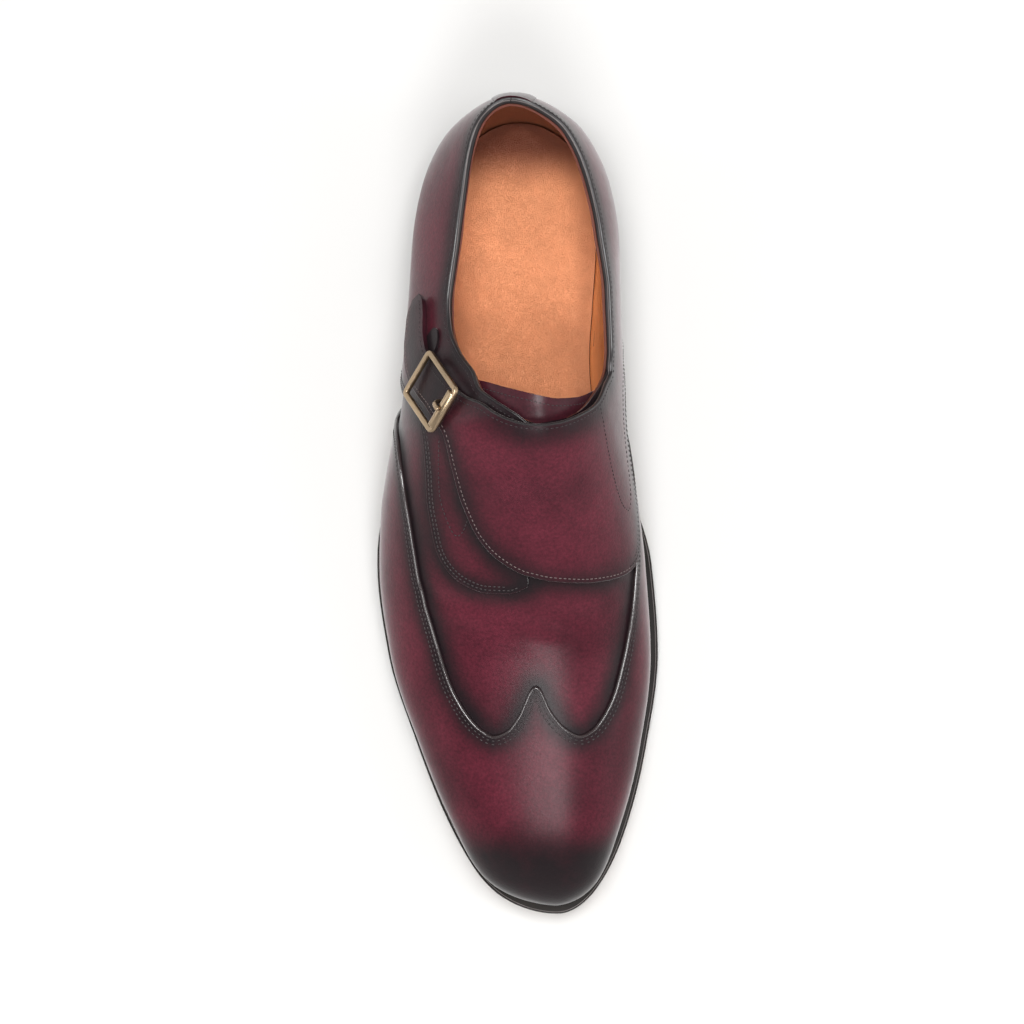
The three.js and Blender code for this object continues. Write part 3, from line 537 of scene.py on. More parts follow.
def mixed(tree, factor, a, b, kind="MIX"):
    made = node(tree, "ShaderNodeMix", data_type="RGBA", blend_type=kind)
    for socket, value in ((0, factor), (6, a), (7, b)):
        feed(tree, made.inputs[socket], value)
    return made.outputs[2]


def maths(tree, kind, a, b=None, c=None):
    made = node(tree, "ShaderNodeMath", operation=kind)
    for socket, value in enumerate((a, b, c)):
        if value is not None:
            feed(tree, made.inputs[socket], value)
    return made.outputs[0]


def bump(tree, shader, height, strength, distance, normal=None):
    made = node(tree, "ShaderNodeBump", Strength=strength, Distance=distance)
    tree.links.new(height, made.inputs["Height"])
    if normal:
        tree.links.new(normal, made.inputs["Normal"])
    tree.links.new(made.outputs[0], shader.inputs["Normal"])
    return made.outputs[0]


BURGUNDY = (0.080, 0.0105, 0.020)
BURGUNDY_DEEP = (0.046, 0.0062, 0.012)
SMOKE = (0.0075, 0.005, 0.0062)


def patina_leather(name, darker=0.0):
    made, tree, shader = material(name)
    cloud = noise(tree, 34.0, 3.0, 0.55)
    body = ramp(tree, cloud, [(0.35, BURGUNDY_DEEP), (0.62, BURGUNDY)])
    fine = noise(tree, 900.0, 2.0, 0.6)
    speckle = ramp(tree, fine, [(0.3, (0.72, 0.72, 0.74)), (0.7, (1.25, 1.22, 1.22))])
    body = mixed(tree, 1.0, body, speckle, "MULTIPLY")
    smoke = read_burnish_and_shade(tree)
    spread = maths(tree, "MULTIPLY_ADD", noise(tree, 120.0, 4.0, 0.6), 0.5, -0.25)
    amount = maths(tree, "ADD", smoke, maths(tree, "MULTIPLY", spread, smoke))
    amount = maths(tree, "MINIMUM", maths(tree, "ADD", amount, darker), 0.97)
    rough = maths(tree, "MULTIPLY_ADD", noise(tree, 260.0, 3.0, 0.6), 0.16, 0.3)
    paint(tree, shader, Base_Color=mixed(tree, amount, body, SMOKE), Roughness=rough,
          Specular_IOR_Level=0.12, Coat_Weight=0.16, Coat_Roughness=0.3, Sheen_Weight=0.24,
          Sheen_Roughness=0.3)
    pores = node(tree, "ShaderNodeTexVoronoi", Scale=1250.0, feature="F1")
    tree.links.new(place_on(tree), pores.inputs["Vector"])
    skin = noise(tree, 620.0, 4.0, 0.62)
    height = maths(tree, "ADD", maths(tree, "MULTIPLY", pores.outputs[0], 0.5), skin)
    first = bump(tree, shader, height, 0.35, 0.00014)
    bump(tree, shader, noise(tree, 95.0, 3.0, 0.5), 0.25, 0.0006, first)
    return made


def lining_leather(name, base, shade_colour, pebble, depth):
    made, tree, shader = material(name)
    cloud = noise(tree, 46.0, 3.0, 0.5)
    body = ramp(tree, cloud, [(0.32, tuple(0.82 * c for c in base)), (0.66, base)])
    # The attribute mixes in the shade colour: painted shade on the lining and the insole.
    paint(tree, shader, Base_Color=mixed(tree, read_burnish_and_shade(tree), body, shade_colour), Roughness=0.55)
    cells = node(tree, "ShaderNodeTexVoronoi", Scale=pebble, feature="SMOOTH_F1")
    wobble = mixed(tree, 0.004, place_on(tree),
                   node(tree, "ShaderNodeTexNoise", Scale=300.0).outputs[1], "LINEAR_LIGHT")
    tree.links.new(wobble, cells.inputs["Vector"])
    first = bump(tree, shader, cells.outputs[0], depth, 0.0008)
    bump(tree, shader, noise(tree, 1500.0, 2.0), 0.2, 0.0001, first)
    return made


def plain(name, colour, rough, metal=0.0, grain=0.0, scale=600.0, coat=0.0):
    made, tree, shader = material(name)
    shifted = noise(tree, scale / 6, 3.0)
    body = ramp(tree, shifted, [(0.3, tuple(0.7 * c for c in colour)), (0.7, colour)])
    varied = maths(tree, "MULTIPLY_ADD", noise(tree, scale / 3, 3.0), 0.25, rough - 0.12)
    paint(tree, shader, Base_Color=body, Roughness=varied, Metallic=metal, Coat_Weight=coat)
    if grain:
        bump(tree, shader, noise(tree, scale, 4.0, 0.6), grain, 0.0002)
    return made


def striped(name, colour, light, rough, pitch, depth):
    """Waxed leather edge with fine lines along it."""
    made, tree, shader = material(name)
    squeezed = node(tree, "ShaderNodeMapping", Scale=(14, 14, 1000.0 / pitch))
    tree.links.new(place_on(tree), squeezed.inputs["Vector"])
    lines = noise(tree, 1.0, 3.0, 0.6, squeezed.outputs[0])
    body = ramp(tree, lines, [(0.35, colour), (0.7, light)])
    paint(tree, shader, Base_Color=body, Roughness=rough, Specular_IOR_Level=0.06)
    first = bump(tree, shader, lines, depth, 0.0003)
    bump(tree, shader, noise(tree, 500.0, 3.0), 0.15, 0.0002, first)
    return made


LEATHER = patina_leather("burgundy_leather")
DARK_LEATHER = patina_leather("burnished_leather", 0.75)
BINDING = plain("rolled_binding", (0.010, 0.007, 0.008), 0.4, grain=0.2, coat=0.1)
# Light grey tubes that stand for glints on the binding and the welt: painted highlights.
PAINTED_GLINT = plain("binding_line", (0.13, 0.11, 0.107), 0.35)
# The last colour of the lining and of the insole is their painted shade.
LINING = lining_leather("tan_lining", (0.86, 0.29, 0.09), (0.12, 0.03, 0.02), 620.0, 0.6)
SOCK = lining_leather("orange_insole", (1.0, 0.40, 0.19), (0.12, 0.025, 0.014), 480.0, 0.9)
SOLE_BLACK = striped("waxed_edge", (0.010, 0.008, 0.007), (0.022, 0.018, 0.016), 0.34, 1.1, 0.25)
HEEL_BLACK = striped("stacked_heel", (0.011, 0.009, 0.008), (0.032, 0.026, 0.023), 0.36, 0.8, 0.4)
RUBBER = plain("rubber_lift", (0.012, 0.011, 0.011), 0.55, grain=0.25, scale=900.0)
SOLE_TAN = lining_leather("sole_leather", (0.42, 0.22, 0.11), (0.1, 0.05, 0.03), 900.0, 0.1)
BRASS = plain("antique_brass", (0.50, 0.37, 0.24), 0.32, metal=1.0, grain=0.05, scale=400.0)
THREAD_DARK = plain("dark_thread", (0.020, 0.012, 0.014), 0.5, grain=0.3, scale=2500.0)
THREAD_LIGHT = plain("light_thread", (0.15, 0.11, 0.105), 0.5, grain=0.3, scale=2500.0)
THREAD_MID = plain("grey_thread", (0.032, 0.023, 0.024), 0.5, grain=0.3, scale=2500.0)
EDGE = plain("polished_edge", (0.03, 0.02, 0.021), 0.2, grain=0.3, scale=1400.0, coat=0.8)

# Where the leather is burnished: the toe, above the welt, and each smoky line with its reach and strength
TOE_DARK = 0.95
WELT_DARK = 0.8
SMOKED = {}


def smoke_along(name, curve, reach, strength, start=0.0, end=1.0):
    turn, around = trace(curve, 2.5, 0.8, start, end)
    SMOKED[name] = (on_last(turn, around, 0.8), reach, strength)


def smooth(low, high, at):
    x = np.clip((at - low) / (high - low), 0, 1)
    return x * x * (3 - 2 * x)


def points_of(piece):
    flat = np.empty(len(piece.data.vertices) * 3)
    piece.data.vertices.foreach_get("co", flat)
    return flat.reshape(-1, 3) / MM


# Per-point darkness: real burnish on the outer leathers, painted shade on the lining and the insole.
def store_burnish_and_shade(piece, values):
    layer = piece.data.attributes.new("burnish_and_shade", "FLOAT", "POINT")
    layer.data.foreach_set("value", np.clip(values, 0, 0.98).astype(np.float32))


def burnish_and_shade(piece, lines, extra=0.0):
    """Darkness of each point of a piece, from its distance to the smoky lines, the rim and the toe."""
    p = points_of(piece)
    clear = np.full(len(p), 1.0 - extra)
    for name in lines:
        line, reach, strength = SMOKED[name]
        near = np.concatenate([((p[k:k + 4000, None] - line[None]) ** 2).sum(-1).min(1)
                               for k in range(0, len(p), 4000)])
        clear *= 1 - strength * np.exp(-(near / reach ** 2) ** 1.3)
    s = along_of(p)
    clear *= 1 - TOE_DARK * smooth(266, 283, s)
    over_welt = np.maximum(p[:, 2] - feather_under(p), 0)
    clear *= 1 - WELT_DARK * np.exp(-(over_welt / (5.5 + 11 * smooth(225, 275, s))) ** 2)
    store_burnish_and_shade(piece, 1 - clear)


# Levels of the leathers off the last, and how far they end below the collar line
VAMP_THICK = 0.9
VAMP_LOWERED = 1.6
LINING_TOP = -0.95
LINING_THICK = 1.0
LINING_LOWERED = 1.2
CAP_TOP = 1.45
CAP_UNDER = -0.1
QUARTER_TOP = 1.6
QUARTER_UNDER = 0.1
QUARTER_LOWERED = 1.2
STRIP_UNDER = 0.9
STRIP_LOWERED = 1.9
TONGUE_FACE = -2.3
TONGUE_UNDER = -4.2
TAB_FACE = 2.65
TAB_UNDER = 1.5

# The upper: outer leather and lining, open at the collar and underneath
STATIONS = 200
SPREAD = 66


def wall_grid(offset, lowered):
    turn = np.linspace(0, 1, STATIONS + 1)[:, None]
    share = np.linspace(0, 1, SPREAD + 1)[None, :]
    left = collar_around(turn[:, 0], -1, lowered)[:, None]
    right = collar_around(turn[:, 0], 1, lowered)[:, None]
    around = np.concatenate([left * share, right + (1 - right) * share], axis=1)
    return on_last(np.broadcast_to(turn, around.shape), around, offset)


def drop_inner(points, faces):
    """Leaves out the rungs where two walls meet: they appear twice in the same place."""
    seen = {}
    for i, centre in enumerate(map(tuple, np.round(points[faces].mean(1), 2))):
        seen.setdefault(centre, []).append(i)
    keep = np.ones(len(faces), bool)
    for same in seen.values():
        if len(same) > 1:
            keep[same] = False
    return faces[keep]


def upper_shell(name, offset, thickness, mat, lowered):
    """Two walls joined over the vamp, each with an outer and an inner side."""
    outer, inner = wall_grid(offset, lowered), wall_grid(offset - thickness, lowered)
    points = np.concatenate([outer.reshape(-1, 3), inner.reshape(-1, 3)])
    count = len(points) // 2
    index = np.arange(count).reshape(outer.shape[:2])
    left, right = index[:, :SPREAD + 1], index[:, SPREAD + 1:]
    faces = []
    for part in (left, right):
        faces += [quads(part), quads(part)[:, ::-1] + count]
    faces += [rim(line, count) for line in (left[:, 0], left[:, -1], right[:, 0], right[:, -1],
                                            left[0], right[0], left[-1], right[-1])]
    return mesh_of(name, points, drop_inner(points, np.concatenate(faces)), mat)


vamp = upper_shell("upper_leather", 0.0, VAMP_THICK, LEATHER, VAMP_LOWERED)
lining = upper_shell("upper_lining", LINING_TOP, LINING_THICK, LINING, LINING_LOWERED)

# Wing cap, quarters, strap, tongue and back strap
wing = edge_curve(WING_EDGE)


def wing_place(i, j):
    turn, around = wing(j)
    ease = i * i * (3 - 2 * i)
    return turn + (1 - turn) * i, around + (j - around) * ease


def mesh_grid(rows, columns):
    return np.meshgrid(np.linspace(0, 1, rows + 1), np.linspace(0, 1, columns + 1), indexing="ij")


i, j = mesh_grid(70, 260)
cap = thick_sheet("wing_cap_leather", above_feather(on_last(*wing_place(i, j), CAP_TOP)),
                  above_feather(on_last(*wing_place(i, j), CAP_UNDER)), LEATHER, folded=True)

lateral_low = edge_curve(LATERAL_EDGE)


def collar_rows(rows, side):
    """Rows of (around, along) whose missing places are put on the collar."""
    def on_collar(along):
        return float(collar_around(turn_at(np.array([along * SOLE])), side, QUARTER_LOWERED)[0])
    return [(on_collar(along) if around is None else around, along) for around, along in rows]


lateral_high = edge_curve(collar_rows(LATERAL_TOP, -1))


def between(lower, upper):
    def place(u, v):
        (t0, a0), (t1, a1) = lower(u), upper(u)
        return t0 + (t1 - t0) * v, a0 + (a1 - a0) * v
    return place


i, j = mesh_grid(150, 60)
lateral_place = between(lateral_low, lateral_high)
lateral = thick_sheet("quarter_lateral_leather",
                      above_feather(on_last(*lateral_place(i, j), QUARTER_TOP)),
                      above_feather(on_last(*lateral_place(i, j), QUARTER_UNDER)), LEATHER)

panel_key = np.linspace(0, 1, len(PANEL))
panel_low = edge_curve([(row[0], row[1]) for row in PANEL])
panel_lift = cubic(panel_key, [row[4] for row in PANEL])
panel_thick = cubic(panel_key, [row[5] for row in PANEL])
panel_high = edge_curve(collar_rows([(row[2], row[3]) for row in PANEL], 1))
panel_place = between(panel_low, panel_high)


def panel_point(u, v, share):
    """A point of the medial panel or the strap, from its underside (0) to its face (1)."""
    return on_last(*panel_place(u, v), panel_lift(u) + share * panel_thick(u))


i, j = mesh_grid(300, 44)
strap = thick_sheet("quarter_and_strap_leather", above_feather(panel_point(i, j, 1)),
                    above_feather(panel_point(i, j, 0)), LEATHER)

# Free top edge of the tongue: around, along
TONGUE_TOP = [(0.33, 0.33), (0.4, 0.341), (0.45, 0.352), (0.5, 0.36), (0.55, 0.364), (0.6, 0.362),
              (0.67, 0.35)]
TONGUE_HALF = 0.17
TONGUE_LONG = 0.2
tongue_edge = columns_of(TONGUE_TOP)[0]
i, j = mesh_grid(40, 40)
tongue_around = 0.5 + TONGUE_HALF * (2 * j - 1)
tongue_turn = turn_at(SOLE * (tongue_edge(tongue_around) + TONGUE_LONG * i))
tongue = thick_sheet("tongue_leather", on_last(tongue_turn, tongue_around, TONGUE_FACE),
                     on_last(tongue_turn, tongue_around, TONGUE_UNDER), LEATHER)


def back_strip():
    """The strip over the back seam, wide at the collar and narrow below it."""
    v = np.linspace(0, 1, 41)[:, None]
    q = np.linspace(-1, 1, 25)[None, :]
    flare = np.clip((v - 0.62) / 0.3, 0, 1)
    wide = turn_at(np.array(HEEL_SET + 0.22 + 1.5 * flare * flare * (3 - 2 * flare)))
    turn = wide * np.abs(q)
    left = collar_around(turn, -1, STRIP_LOWERED) * v
    around = np.where(q < 0, left, 1 - left)
    rounded = 1 - (np.abs(q) ** 6) * 0.6
    return on_last(turn, around, QUARTER_TOP + 0.75 * rounded), on_last(turn, around, STRIP_UNDER)


strip_top, strip_under = back_strip()
back = thick_sheet("back_strip_leather", above_feather(strip_top), above_feather(strip_under), LEATHER)

# Smoky burnishing along the seams and edges
smoke_along("wing", wing, 6.5, 0.97)
smoke_along("flap", lateral_low, 6.5, 0.93, 0.33, 1.0)
smoke_along("front", panel_low, 7.0, 0.95, 0.2, 0.85)
smoke_along("rear", panel_high, 7.5, 0.93, 0.0, 0.85)
smoke_along("throat", lateral_high, 7.5, 0.93, 0.0, 0.7)
smoke_along("tail", lambda u: panel_place(u, 0.5), 13.0, 0.9, 0.8, 1.0)
burnish_and_shade(vamp, ["wing", "flap", "front", "throat", "rear"])
burnish_and_shade(cap, ["wing"])
burnish_and_shade(lateral, ["flap", "throat", "front", "rear"])
burnish_and_shade(strap, ["front", "rear", "tail"])
burnish_and_shade(tongue, [], 0.5)
burnish_and_shade(back, [], 0.6)

# Beads that round the cut edges
BEAD_STEP = 1.2


def bead(name, curve, lift, half_width, half_height, mat, start=0.0, end=1.0):
    turn, around = trace(curve, BEAD_STEP, 0.5, start, end)
    p, ahead, out = frame_at(turn, around, lift)
    tube(name, p, ahead, out, half_width, half_height, mat, "upper")


bead("wing_edge", wing, 1.0, 0.5, 0.78, EDGE)
bead("lateral_flap_edge", lateral_low, 0.9, 0.4, 0.75, DARK_LEATHER, 0.34, 1.0)


def swept(u, curve, level, half_width, half_height):
    """A bead along a panel's edge, whose lift and height follow the panel's own."""
    turn, around = curve(u)
    p = on_last(turn, around, level)
    run = run_of(p)
    at = np.linspace(0, run[-1], int(run[-1] / BEAD_STEP))
    v = np.interp(at, run, u)
    turn, around = curve(v)
    p, ahead, out = frame_at(turn, around, np.interp(v, u, level))
    tall = np.interp(v, u, half_height)
    wide = np.interp(v, u, half_width)
    return p, ahead, out, wide[:, None, None], tall[:, None, None]


# Strap and medial quarter: a rounded edge in front, and rolled binding behind up to the buckle
STRAP_EDGE_WIDE = 0.55
BIND_WIDE = 0.62
BIND_END_MEDIAL = 0.79
BIND_END_LATERAL = 0.72
# Size of the light tube on the binding's roll, a painted highlight.
GLINT_WIDE = 0.16
GLINT_TALL = 0.2

u = np.linspace(0.3, 0.995, 900)
tube("strap_front_edge", *swept(u, panel_low, panel_lift(u) + panel_thick(u) / 2,
     STRAP_EDGE_WIDE + 0 * u, panel_thick(u) / 2 + 0.02), DARK_LEATHER, "upper", 12)


def bind(name, u, curve, level, tall, side):
    """The rolled binding on an edge, and a fine light tube along the top of its roll: a painted
    highlight.
    """
    p, ahead, out, wide, high = swept(u, curve, level, BIND_WIDE + 0 * u, tall)
    piece = tube(name, p, ahead, out, wide, high, BINDING, "binding", 12)
    top = p + np.cross(out, ahead) * (side * 0.85 * BIND_WIDE) + out * (0.25 * high[:, 0])
    tube(name + "_line", top, ahead, out, GLINT_WIDE, GLINT_TALL, PAINTED_GLINT, "binding", 6)
    return piece


u = np.linspace(0, BIND_END_MEDIAL, 1200)
wall = smooth(0.3, 0.42, u)
medial_binding = bind("collar_binding_medial", u, panel_high,
                      (1 - wall) * 0.4 + wall * (panel_lift(u) + panel_thick(u) / 2),
                      (1 - wall) * 1.4 + wall * (panel_thick(u) / 2 + 0.2), -1)
u = np.linspace(0, BIND_END_LATERAL, 1000)
bind("collar_binding_lateral", u, lateral_high, 0.4 + 0.3 * smooth(0.4, 0.6, u),
     1.4 - 0.2 * smooth(0.4, 0.6, u), 1)

# Stitching
STITCH = 1.15
STITCH_STEP = 1.75
STITCH_CLEAR = 1.2
STITCH_CROWD = 0.82


def above_welt(p):
    return p[:, 2] > feather_under(p) + STITCH_CLEAR


def row(name, curve, distance, mat, start=0.0, end=1.0, lift=QUARTER_TOP, radius=0.27):
    """Stitches beside a curve; those that would crowd a corner are left out."""
    turn, around = trace(curve, STITCH_STEP, 1.0, start, end)
    t, r = beside(turn, around, distance) if distance else (turn, around)
    level = lift(turn, around) if callable(lift) else lift
    p, ahead, out = frame_at(t, r, level)
    free = above_welt(p)
    if distance:
        near = np.sqrt(((p[:, None] - on_last(turn, around, 1.0)[None]) ** 2).sum(-1).min(1))
        free &= near > abs(distance) * STITCH_CROWD
    stitches(name, p[free], ahead[free], out[free], STITCH, radius, mat)


row("wing_stitches_outer", wing, -1.25, THREAD_MID, lift=CAP_TOP)
row("wing_stitches_inner", wing, -2.7, THREAD_MID, lift=CAP_TOP)
row("flap_stitches_outer", lateral_low, 1.2, THREAD_MID, 0.34, 0.97)
row("flap_stitches_inner", lateral_low, 2.7, THREAD_MID, 0.34, 0.93)


def panel_row(name, distance, start, end, mat, radius=0.27, edge=panel_low):
    u = np.linspace(start, end, 1200)
    p = on_last(*edge(u), panel_lift(u) + panel_thick(u))
    run = run_of(p)
    at = np.interp(np.linspace(0, run[-1], int(run[-1] / STITCH_STEP)), run, u)
    t, r = beside(*edge(at), distance)
    q, ahead, out = frame_at(t, r, panel_lift(at) + panel_thick(at))
    free = above_welt(q)
    stitches(name, q[free], ahead[free], out[free], STITCH, radius, mat)


panel_row("quarter_stitches_outer", -1.5, 0.175, 0.47, THREAD_DARK)
panel_row("quarter_stitches_inner", -3.2, 0.175, 0.45, THREAD_DARK)
panel_row("strap_front_stitches", -1.2, 0.47, 0.985, THREAD_LIGHT, 0.2)
panel_row("collar_stitches_medial", 1.9, 0.01, 0.4, THREAD_DARK, 0.18, panel_high)
panel_row("strap_rear_stitches", 1.9, 0.4, 0.97, THREAD_DARK, 0.2, panel_high)
row("collar_stitches_lateral", lateral_high, -1.9, THREAD_DARK, 0.01, 0.62, radius=0.18)

LATERAL_LINE = [(0.365, 0.416), (0.368, 0.445), (0.373, 0.477), (0.384, 0.506), (0.394, 0.523),
                (0.4, 0.527), (0.406, 0.523), (0.412, 0.51)]
MEDIAL_LINE = [(1, 0.253), (0.92, 0.261), (0.86, 0.275), (0.805, 0.299), (0.77, 0.333),
               (0.748, 0.375), (0.733, 0.42), (0.72, 0.465), (0.71, 0.487), (0.698, 0.496),
               (0.683, 0.492), (0.668, 0.472), (0.66, 0.445), (0.655, 0.42), (0.65, 0.395),
               (0.645, 0.38)]
row("lateral_line", edge_curve(LATERAL_LINE), 0, THREAD_DARK, radius=0.24)


def over_panel(turn, around):
    """Height of the medial panel's face at a place on the last."""
    i, j = mesh_grid(150, 24)
    face = on_last(*panel_place(i, j), 1.5).reshape(-1, 3)
    height = (panel_lift(i) + panel_thick(i)).reshape(-1)
    p = on_last(turn, around, 1.5)
    return height[((p[:, None] - face[None]) ** 2).sum(-1).argmin(1)]


row("medial_line", edge_curve(MEDIAL_LINE), 0, THREAD_DARK, lift=over_panel, radius=0.24)


def tongue_line(u):
    """The stitched line just in front of the tongue's free edge."""
    around = 0.35 + 0.3 * u
    return turn_at(SOLE * (tongue_edge(around) + 0.009)), around


row("tongue_stitches", tongue_line, 0, THREAD_MID, 0.05, 0.95, lift=TONGUE_FACE + 0.05, radius=0.17)


# Sole and heel, as closed rings lofted through their edge profiles
def ring(inset, base, plus, end=SOLE, count=90):
    last = 1.0 if end == SOLE else float(turn_of(end / SOLE))
    turn = np.linspace(0, last, count)
    s = SOLE / 2 - (SOLE / 2 - inset) * np.cos(np.pi * turn)
    tip = np.where(turn < 0.5, 0.0, SOLE_OUTLINE[-1][2] * BALL)

    def edge(side):
        x = (sole_lateral(turn) if side < 0 else sole_medial(turn)) * BALL
        return x - side * inset * np.minimum(np.abs(x - tip) / END_RADIUS, 1)
    held = np.clip(s, 0, end)
    height = base(held) + plus
    left = place_xyz(edge(-1), held, height)
    right = place_xyz(edge(1), held, height)
    return np.concatenate([left, right[::-1]])


def rings_of(rows, end=SOLE, count=90):
    """Rings of a sole part, from rows of inset, the level measured from, and height over it."""
    return [ring(inset, base, plus, end, count) for inset, base, plus in rows]


def loft(name, rings, mat, under=None):
    """A closed piece through rings of points; faces that look down may have a material of their own."""
    count = len(rings[0])
    faces = ring_faces(len(rings), count, capped=False)
    for start in (0, (len(rings) - 1) * count):
        for n in range(count // 2 - 1):
            faces.append((start + n, start + n + 1, start + count - 2 - n, start + count - 1 - n))
    materials = (under,) if under else ()
    piece = mesh_of(name, np.concatenate(rings), faces, mat, materials=materials)
    if under:
        for polygon in piece.data.polygons:
            if polygon.normal.z < -0.7:
                polygon.material_index = 1
    return piece


def welt_bottom(s):
    return outsole_bottom(s) + (OUTSOLE + GAP)


def ground(s):
    return 0 * s


outsole = loft("outsole_leather", rings_of([
    (1.2, outsole_bottom, 0.0), (0.45, outsole_bottom, 0.15), (0.05, outsole_bottom, 0.8),
    (0.0, outsole_bottom, 1.6), (0.0, outsole_bottom, OUTSOLE - 0.5), (0.35, outsole_bottom, OUTSOLE),
]), SOLE_BLACK, SOLE_TAN)

welt = loft("welt_leather", rings_of([
    (0.5, welt_bottom, -GAP), (0.5, welt_bottom, 0.1), (0.0, welt_bottom, 0.45),
    (0.0, welt_bottom, WELT - 0.6), (0.3, welt_bottom, WELT - 0.1), (1.0, welt_bottom, WELT),
    (8.0, welt_bottom, WELT),
]), SOLE_BLACK)

# A fine pale tube round the welt, along its bevelled upper edge: a painted glint.
line = ring(0.75, welt_bottom, WELT + 0.02, count=240)
upright = np.broadcast_to([0.0, 0.0, 1.0], line.shape)
tube("welt_line", line, round_ahead(line), upright, 0.13, 0.1, PAINTED_GLINT, "welt", 6, True)

top_lift = loft("top_lift_rubber", rings_of([
    (1.6, ground, 0.0), (1.2, ground, 0.5), (0.15, ground, TOP_LIFT - 0.3), (0.4, ground, TOP_LIFT),
], HEEL_LENGTH, 50), RUBBER)

heel = loft("heel_stack_leather", rings_of([
    (1.5, ground, TOP_LIFT), (1.15, ground, TOP_LIFT + 0.4), (0.7, outsole_bottom, -0.5),
    (0.9, outsole_bottom, 0.0),
], HEEL_LENGTH, 50), HEEL_BLACK)


# Insole: a sock over the whole floor, its edge turned up a little against the lining
SOCK_THICK = 2.2
SOCK_TURN_UP = 2.2
SOCK_TURN_REACH = 5.0


def sock_grid(lift):
    turn = np.linspace(0, 1, 121)[:, None]
    v = np.linspace(0, 1, 49)[None, :]
    left, right = on_last(turn, 0.0, -WALL - 0.1), on_last(turn, 1.0, -WALL - 0.1)
    p = left + (right - left) * v[..., None]
    edge = np.minimum(v, 1 - v) * np.linalg.norm(right - left, axis=-1)
    rise = SOCK_TURN_UP * np.exp(-(edge / SOCK_TURN_REACH) ** 2)
    p[..., 2] = feather_under(p) + INSOLE + rise + lift
    return p


sock = thick_sheet("insole_leather", sock_grid(0.0), sock_grid(-SOCK_THICK), SOCK)
# Painted shade: the insole darkens towards the heel, inside the heel counter.
store_burnish_and_shade(sock, 0.9 * smooth(32, 13, along_of(points_of(sock))))
# Painted shade on the lining: darker towards the back of the heel. The lining is also made nearly black
# within a few millimetres of the collar line.
inside = points_of(lining)
along = along_of(inside)
collar = np.where(inside[:, 0] < 0, collar_top(along, -1), collar_top(along, 1))
at_edge = smooth(6.0, 2.5, collar - inside[:, 2])
store_burnish_and_shade(lining, 1 - (1 - 0.8 * smooth(48, 18, along)) * (1 - 0.97 * at_edge))

# Places of the buckle's ends (around, along, height off the last) and of its sides
BUCKLE_FRONT = (0.383, 0.3878, 7.3)
BUCKLE_REAR = (0.3196, 0.3365, 6.9)
BUCKLE_SIDES = ((0.361, 0.3331), (0.3434, 0.3908))

# Its sizes
BUCKLE_LENGTH = 27.0
BUCKLE_WIDTH = 20.5
BUCKLE_BAR = 2.0
BUCKLE_THICK = 2.0
BUCKLE_CORNER = 2.3
BAR_EDGE = 0.55
ROLLER_RADIUS = 2.0
ROLLER_LENGTH = 15.2


def spot(around, along, lift=0.0):
    """One place off the last, as a point."""
    return on_last(turn_at(np.array([along * SOLE])), np.array([around]), lift, False)[0]


seat_front, seat_rear = spot(*BUCKLE_FRONT), spot(*BUCKLE_REAR)
forward = unit(seat_front - seat_rear)
across = spot(*BUCKLE_SIDES[0]) - spot(*BUCKLE_SIDES[1])
across = unit(across - forward * across.dot(forward))
off = np.cross(forward, across)
seat_middle = (seat_front + seat_rear) / 2


def on_buckle(x, y, z):
    """Points along the buckle, across it and off the shoe."""
    sides = ((x, forward), (y, across), (z, off))
    return seat_middle + sum(np.multiply.outer(amount, axis) for amount, axis in sides)


def rounded_box(length, width, corner, steps):
    pts = []
    for cx, cy, start in ((1, -1, -90), (1, 1, 0), (-1, 1, 90), (-1, -1, 180)):
        for k in range(steps + 1):
            a = math.radians(start + 90 * k / steps)
            pts.append((cx * (length / 2 - corner) + corner * math.cos(a),
                        cy * (width / 2 - corner) + corner * math.sin(a)))
    return np.array(pts)


def buckle_frame():
    middle = rounded_box(BUCKLE_LENGTH - BUCKLE_BAR, BUCKLE_WIDTH - BUCKLE_BAR,
                         BUCKLE_CORNER - BUCKLE_BAR / 2 + 0.2, 7)
    ahead = round_ahead(middle)
    outward = np.stack([ahead[:, 1], -ahead[:, 0]], -1)
    profile = rounded_box(BUCKLE_BAR, BUCKLE_THICK, BAR_EDGE, 3)
    flat = middle[:, None] + outward[:, None] * profile[None, :, :1]
    high = np.broadcast_to(profile[None, :, 1], flat.shape[:2])
    points = on_buckle(flat[..., 0], flat[..., 1], high)
    faces = ring_faces(len(middle), len(profile), closed=True)
    return mesh_of("buckle_frame_brass", points, faces, BRASS, join=0, sharp=50)


def roller():
    """The tube that turns on the front bar, with rounded ends."""
    half, sides = ROLLER_LENGTH / 2, 28
    stations = [(half, 0.5), (half - 0.12, 0.15), (half - 0.45, 0.0)]
    stations = [(-at, less) for at, less in stations] + stations[::-1]
    angle = np.linspace(0, 2 * np.pi, sides, endpoint=False)
    centre = BUCKLE_LENGTH / 2 - ROLLER_RADIUS
    rings = [on_buckle(centre + (ROLLER_RADIUS - less) * np.cos(angle), at + 0 * angle,
                       (ROLLER_RADIUS - less) * np.sin(angle)) for at, less in stations]
    return mesh_of("buckle_roller_brass", np.concatenate(rings), ring_faces(len(rings), sides),
                   BRASS, join=0, sharp=50)


# Prong from its root to its tip: along the buckle, off it
PRONG = [(5.5, -3.4), (5.8, -1.8), (7.1, 0.6), (9.6, 2.6), (12.2, 2.95), (13.2, 2.75)]
PRONG_HALF_WIDTH = 0.95
PRONG_HALF_HEIGHT = 0.85


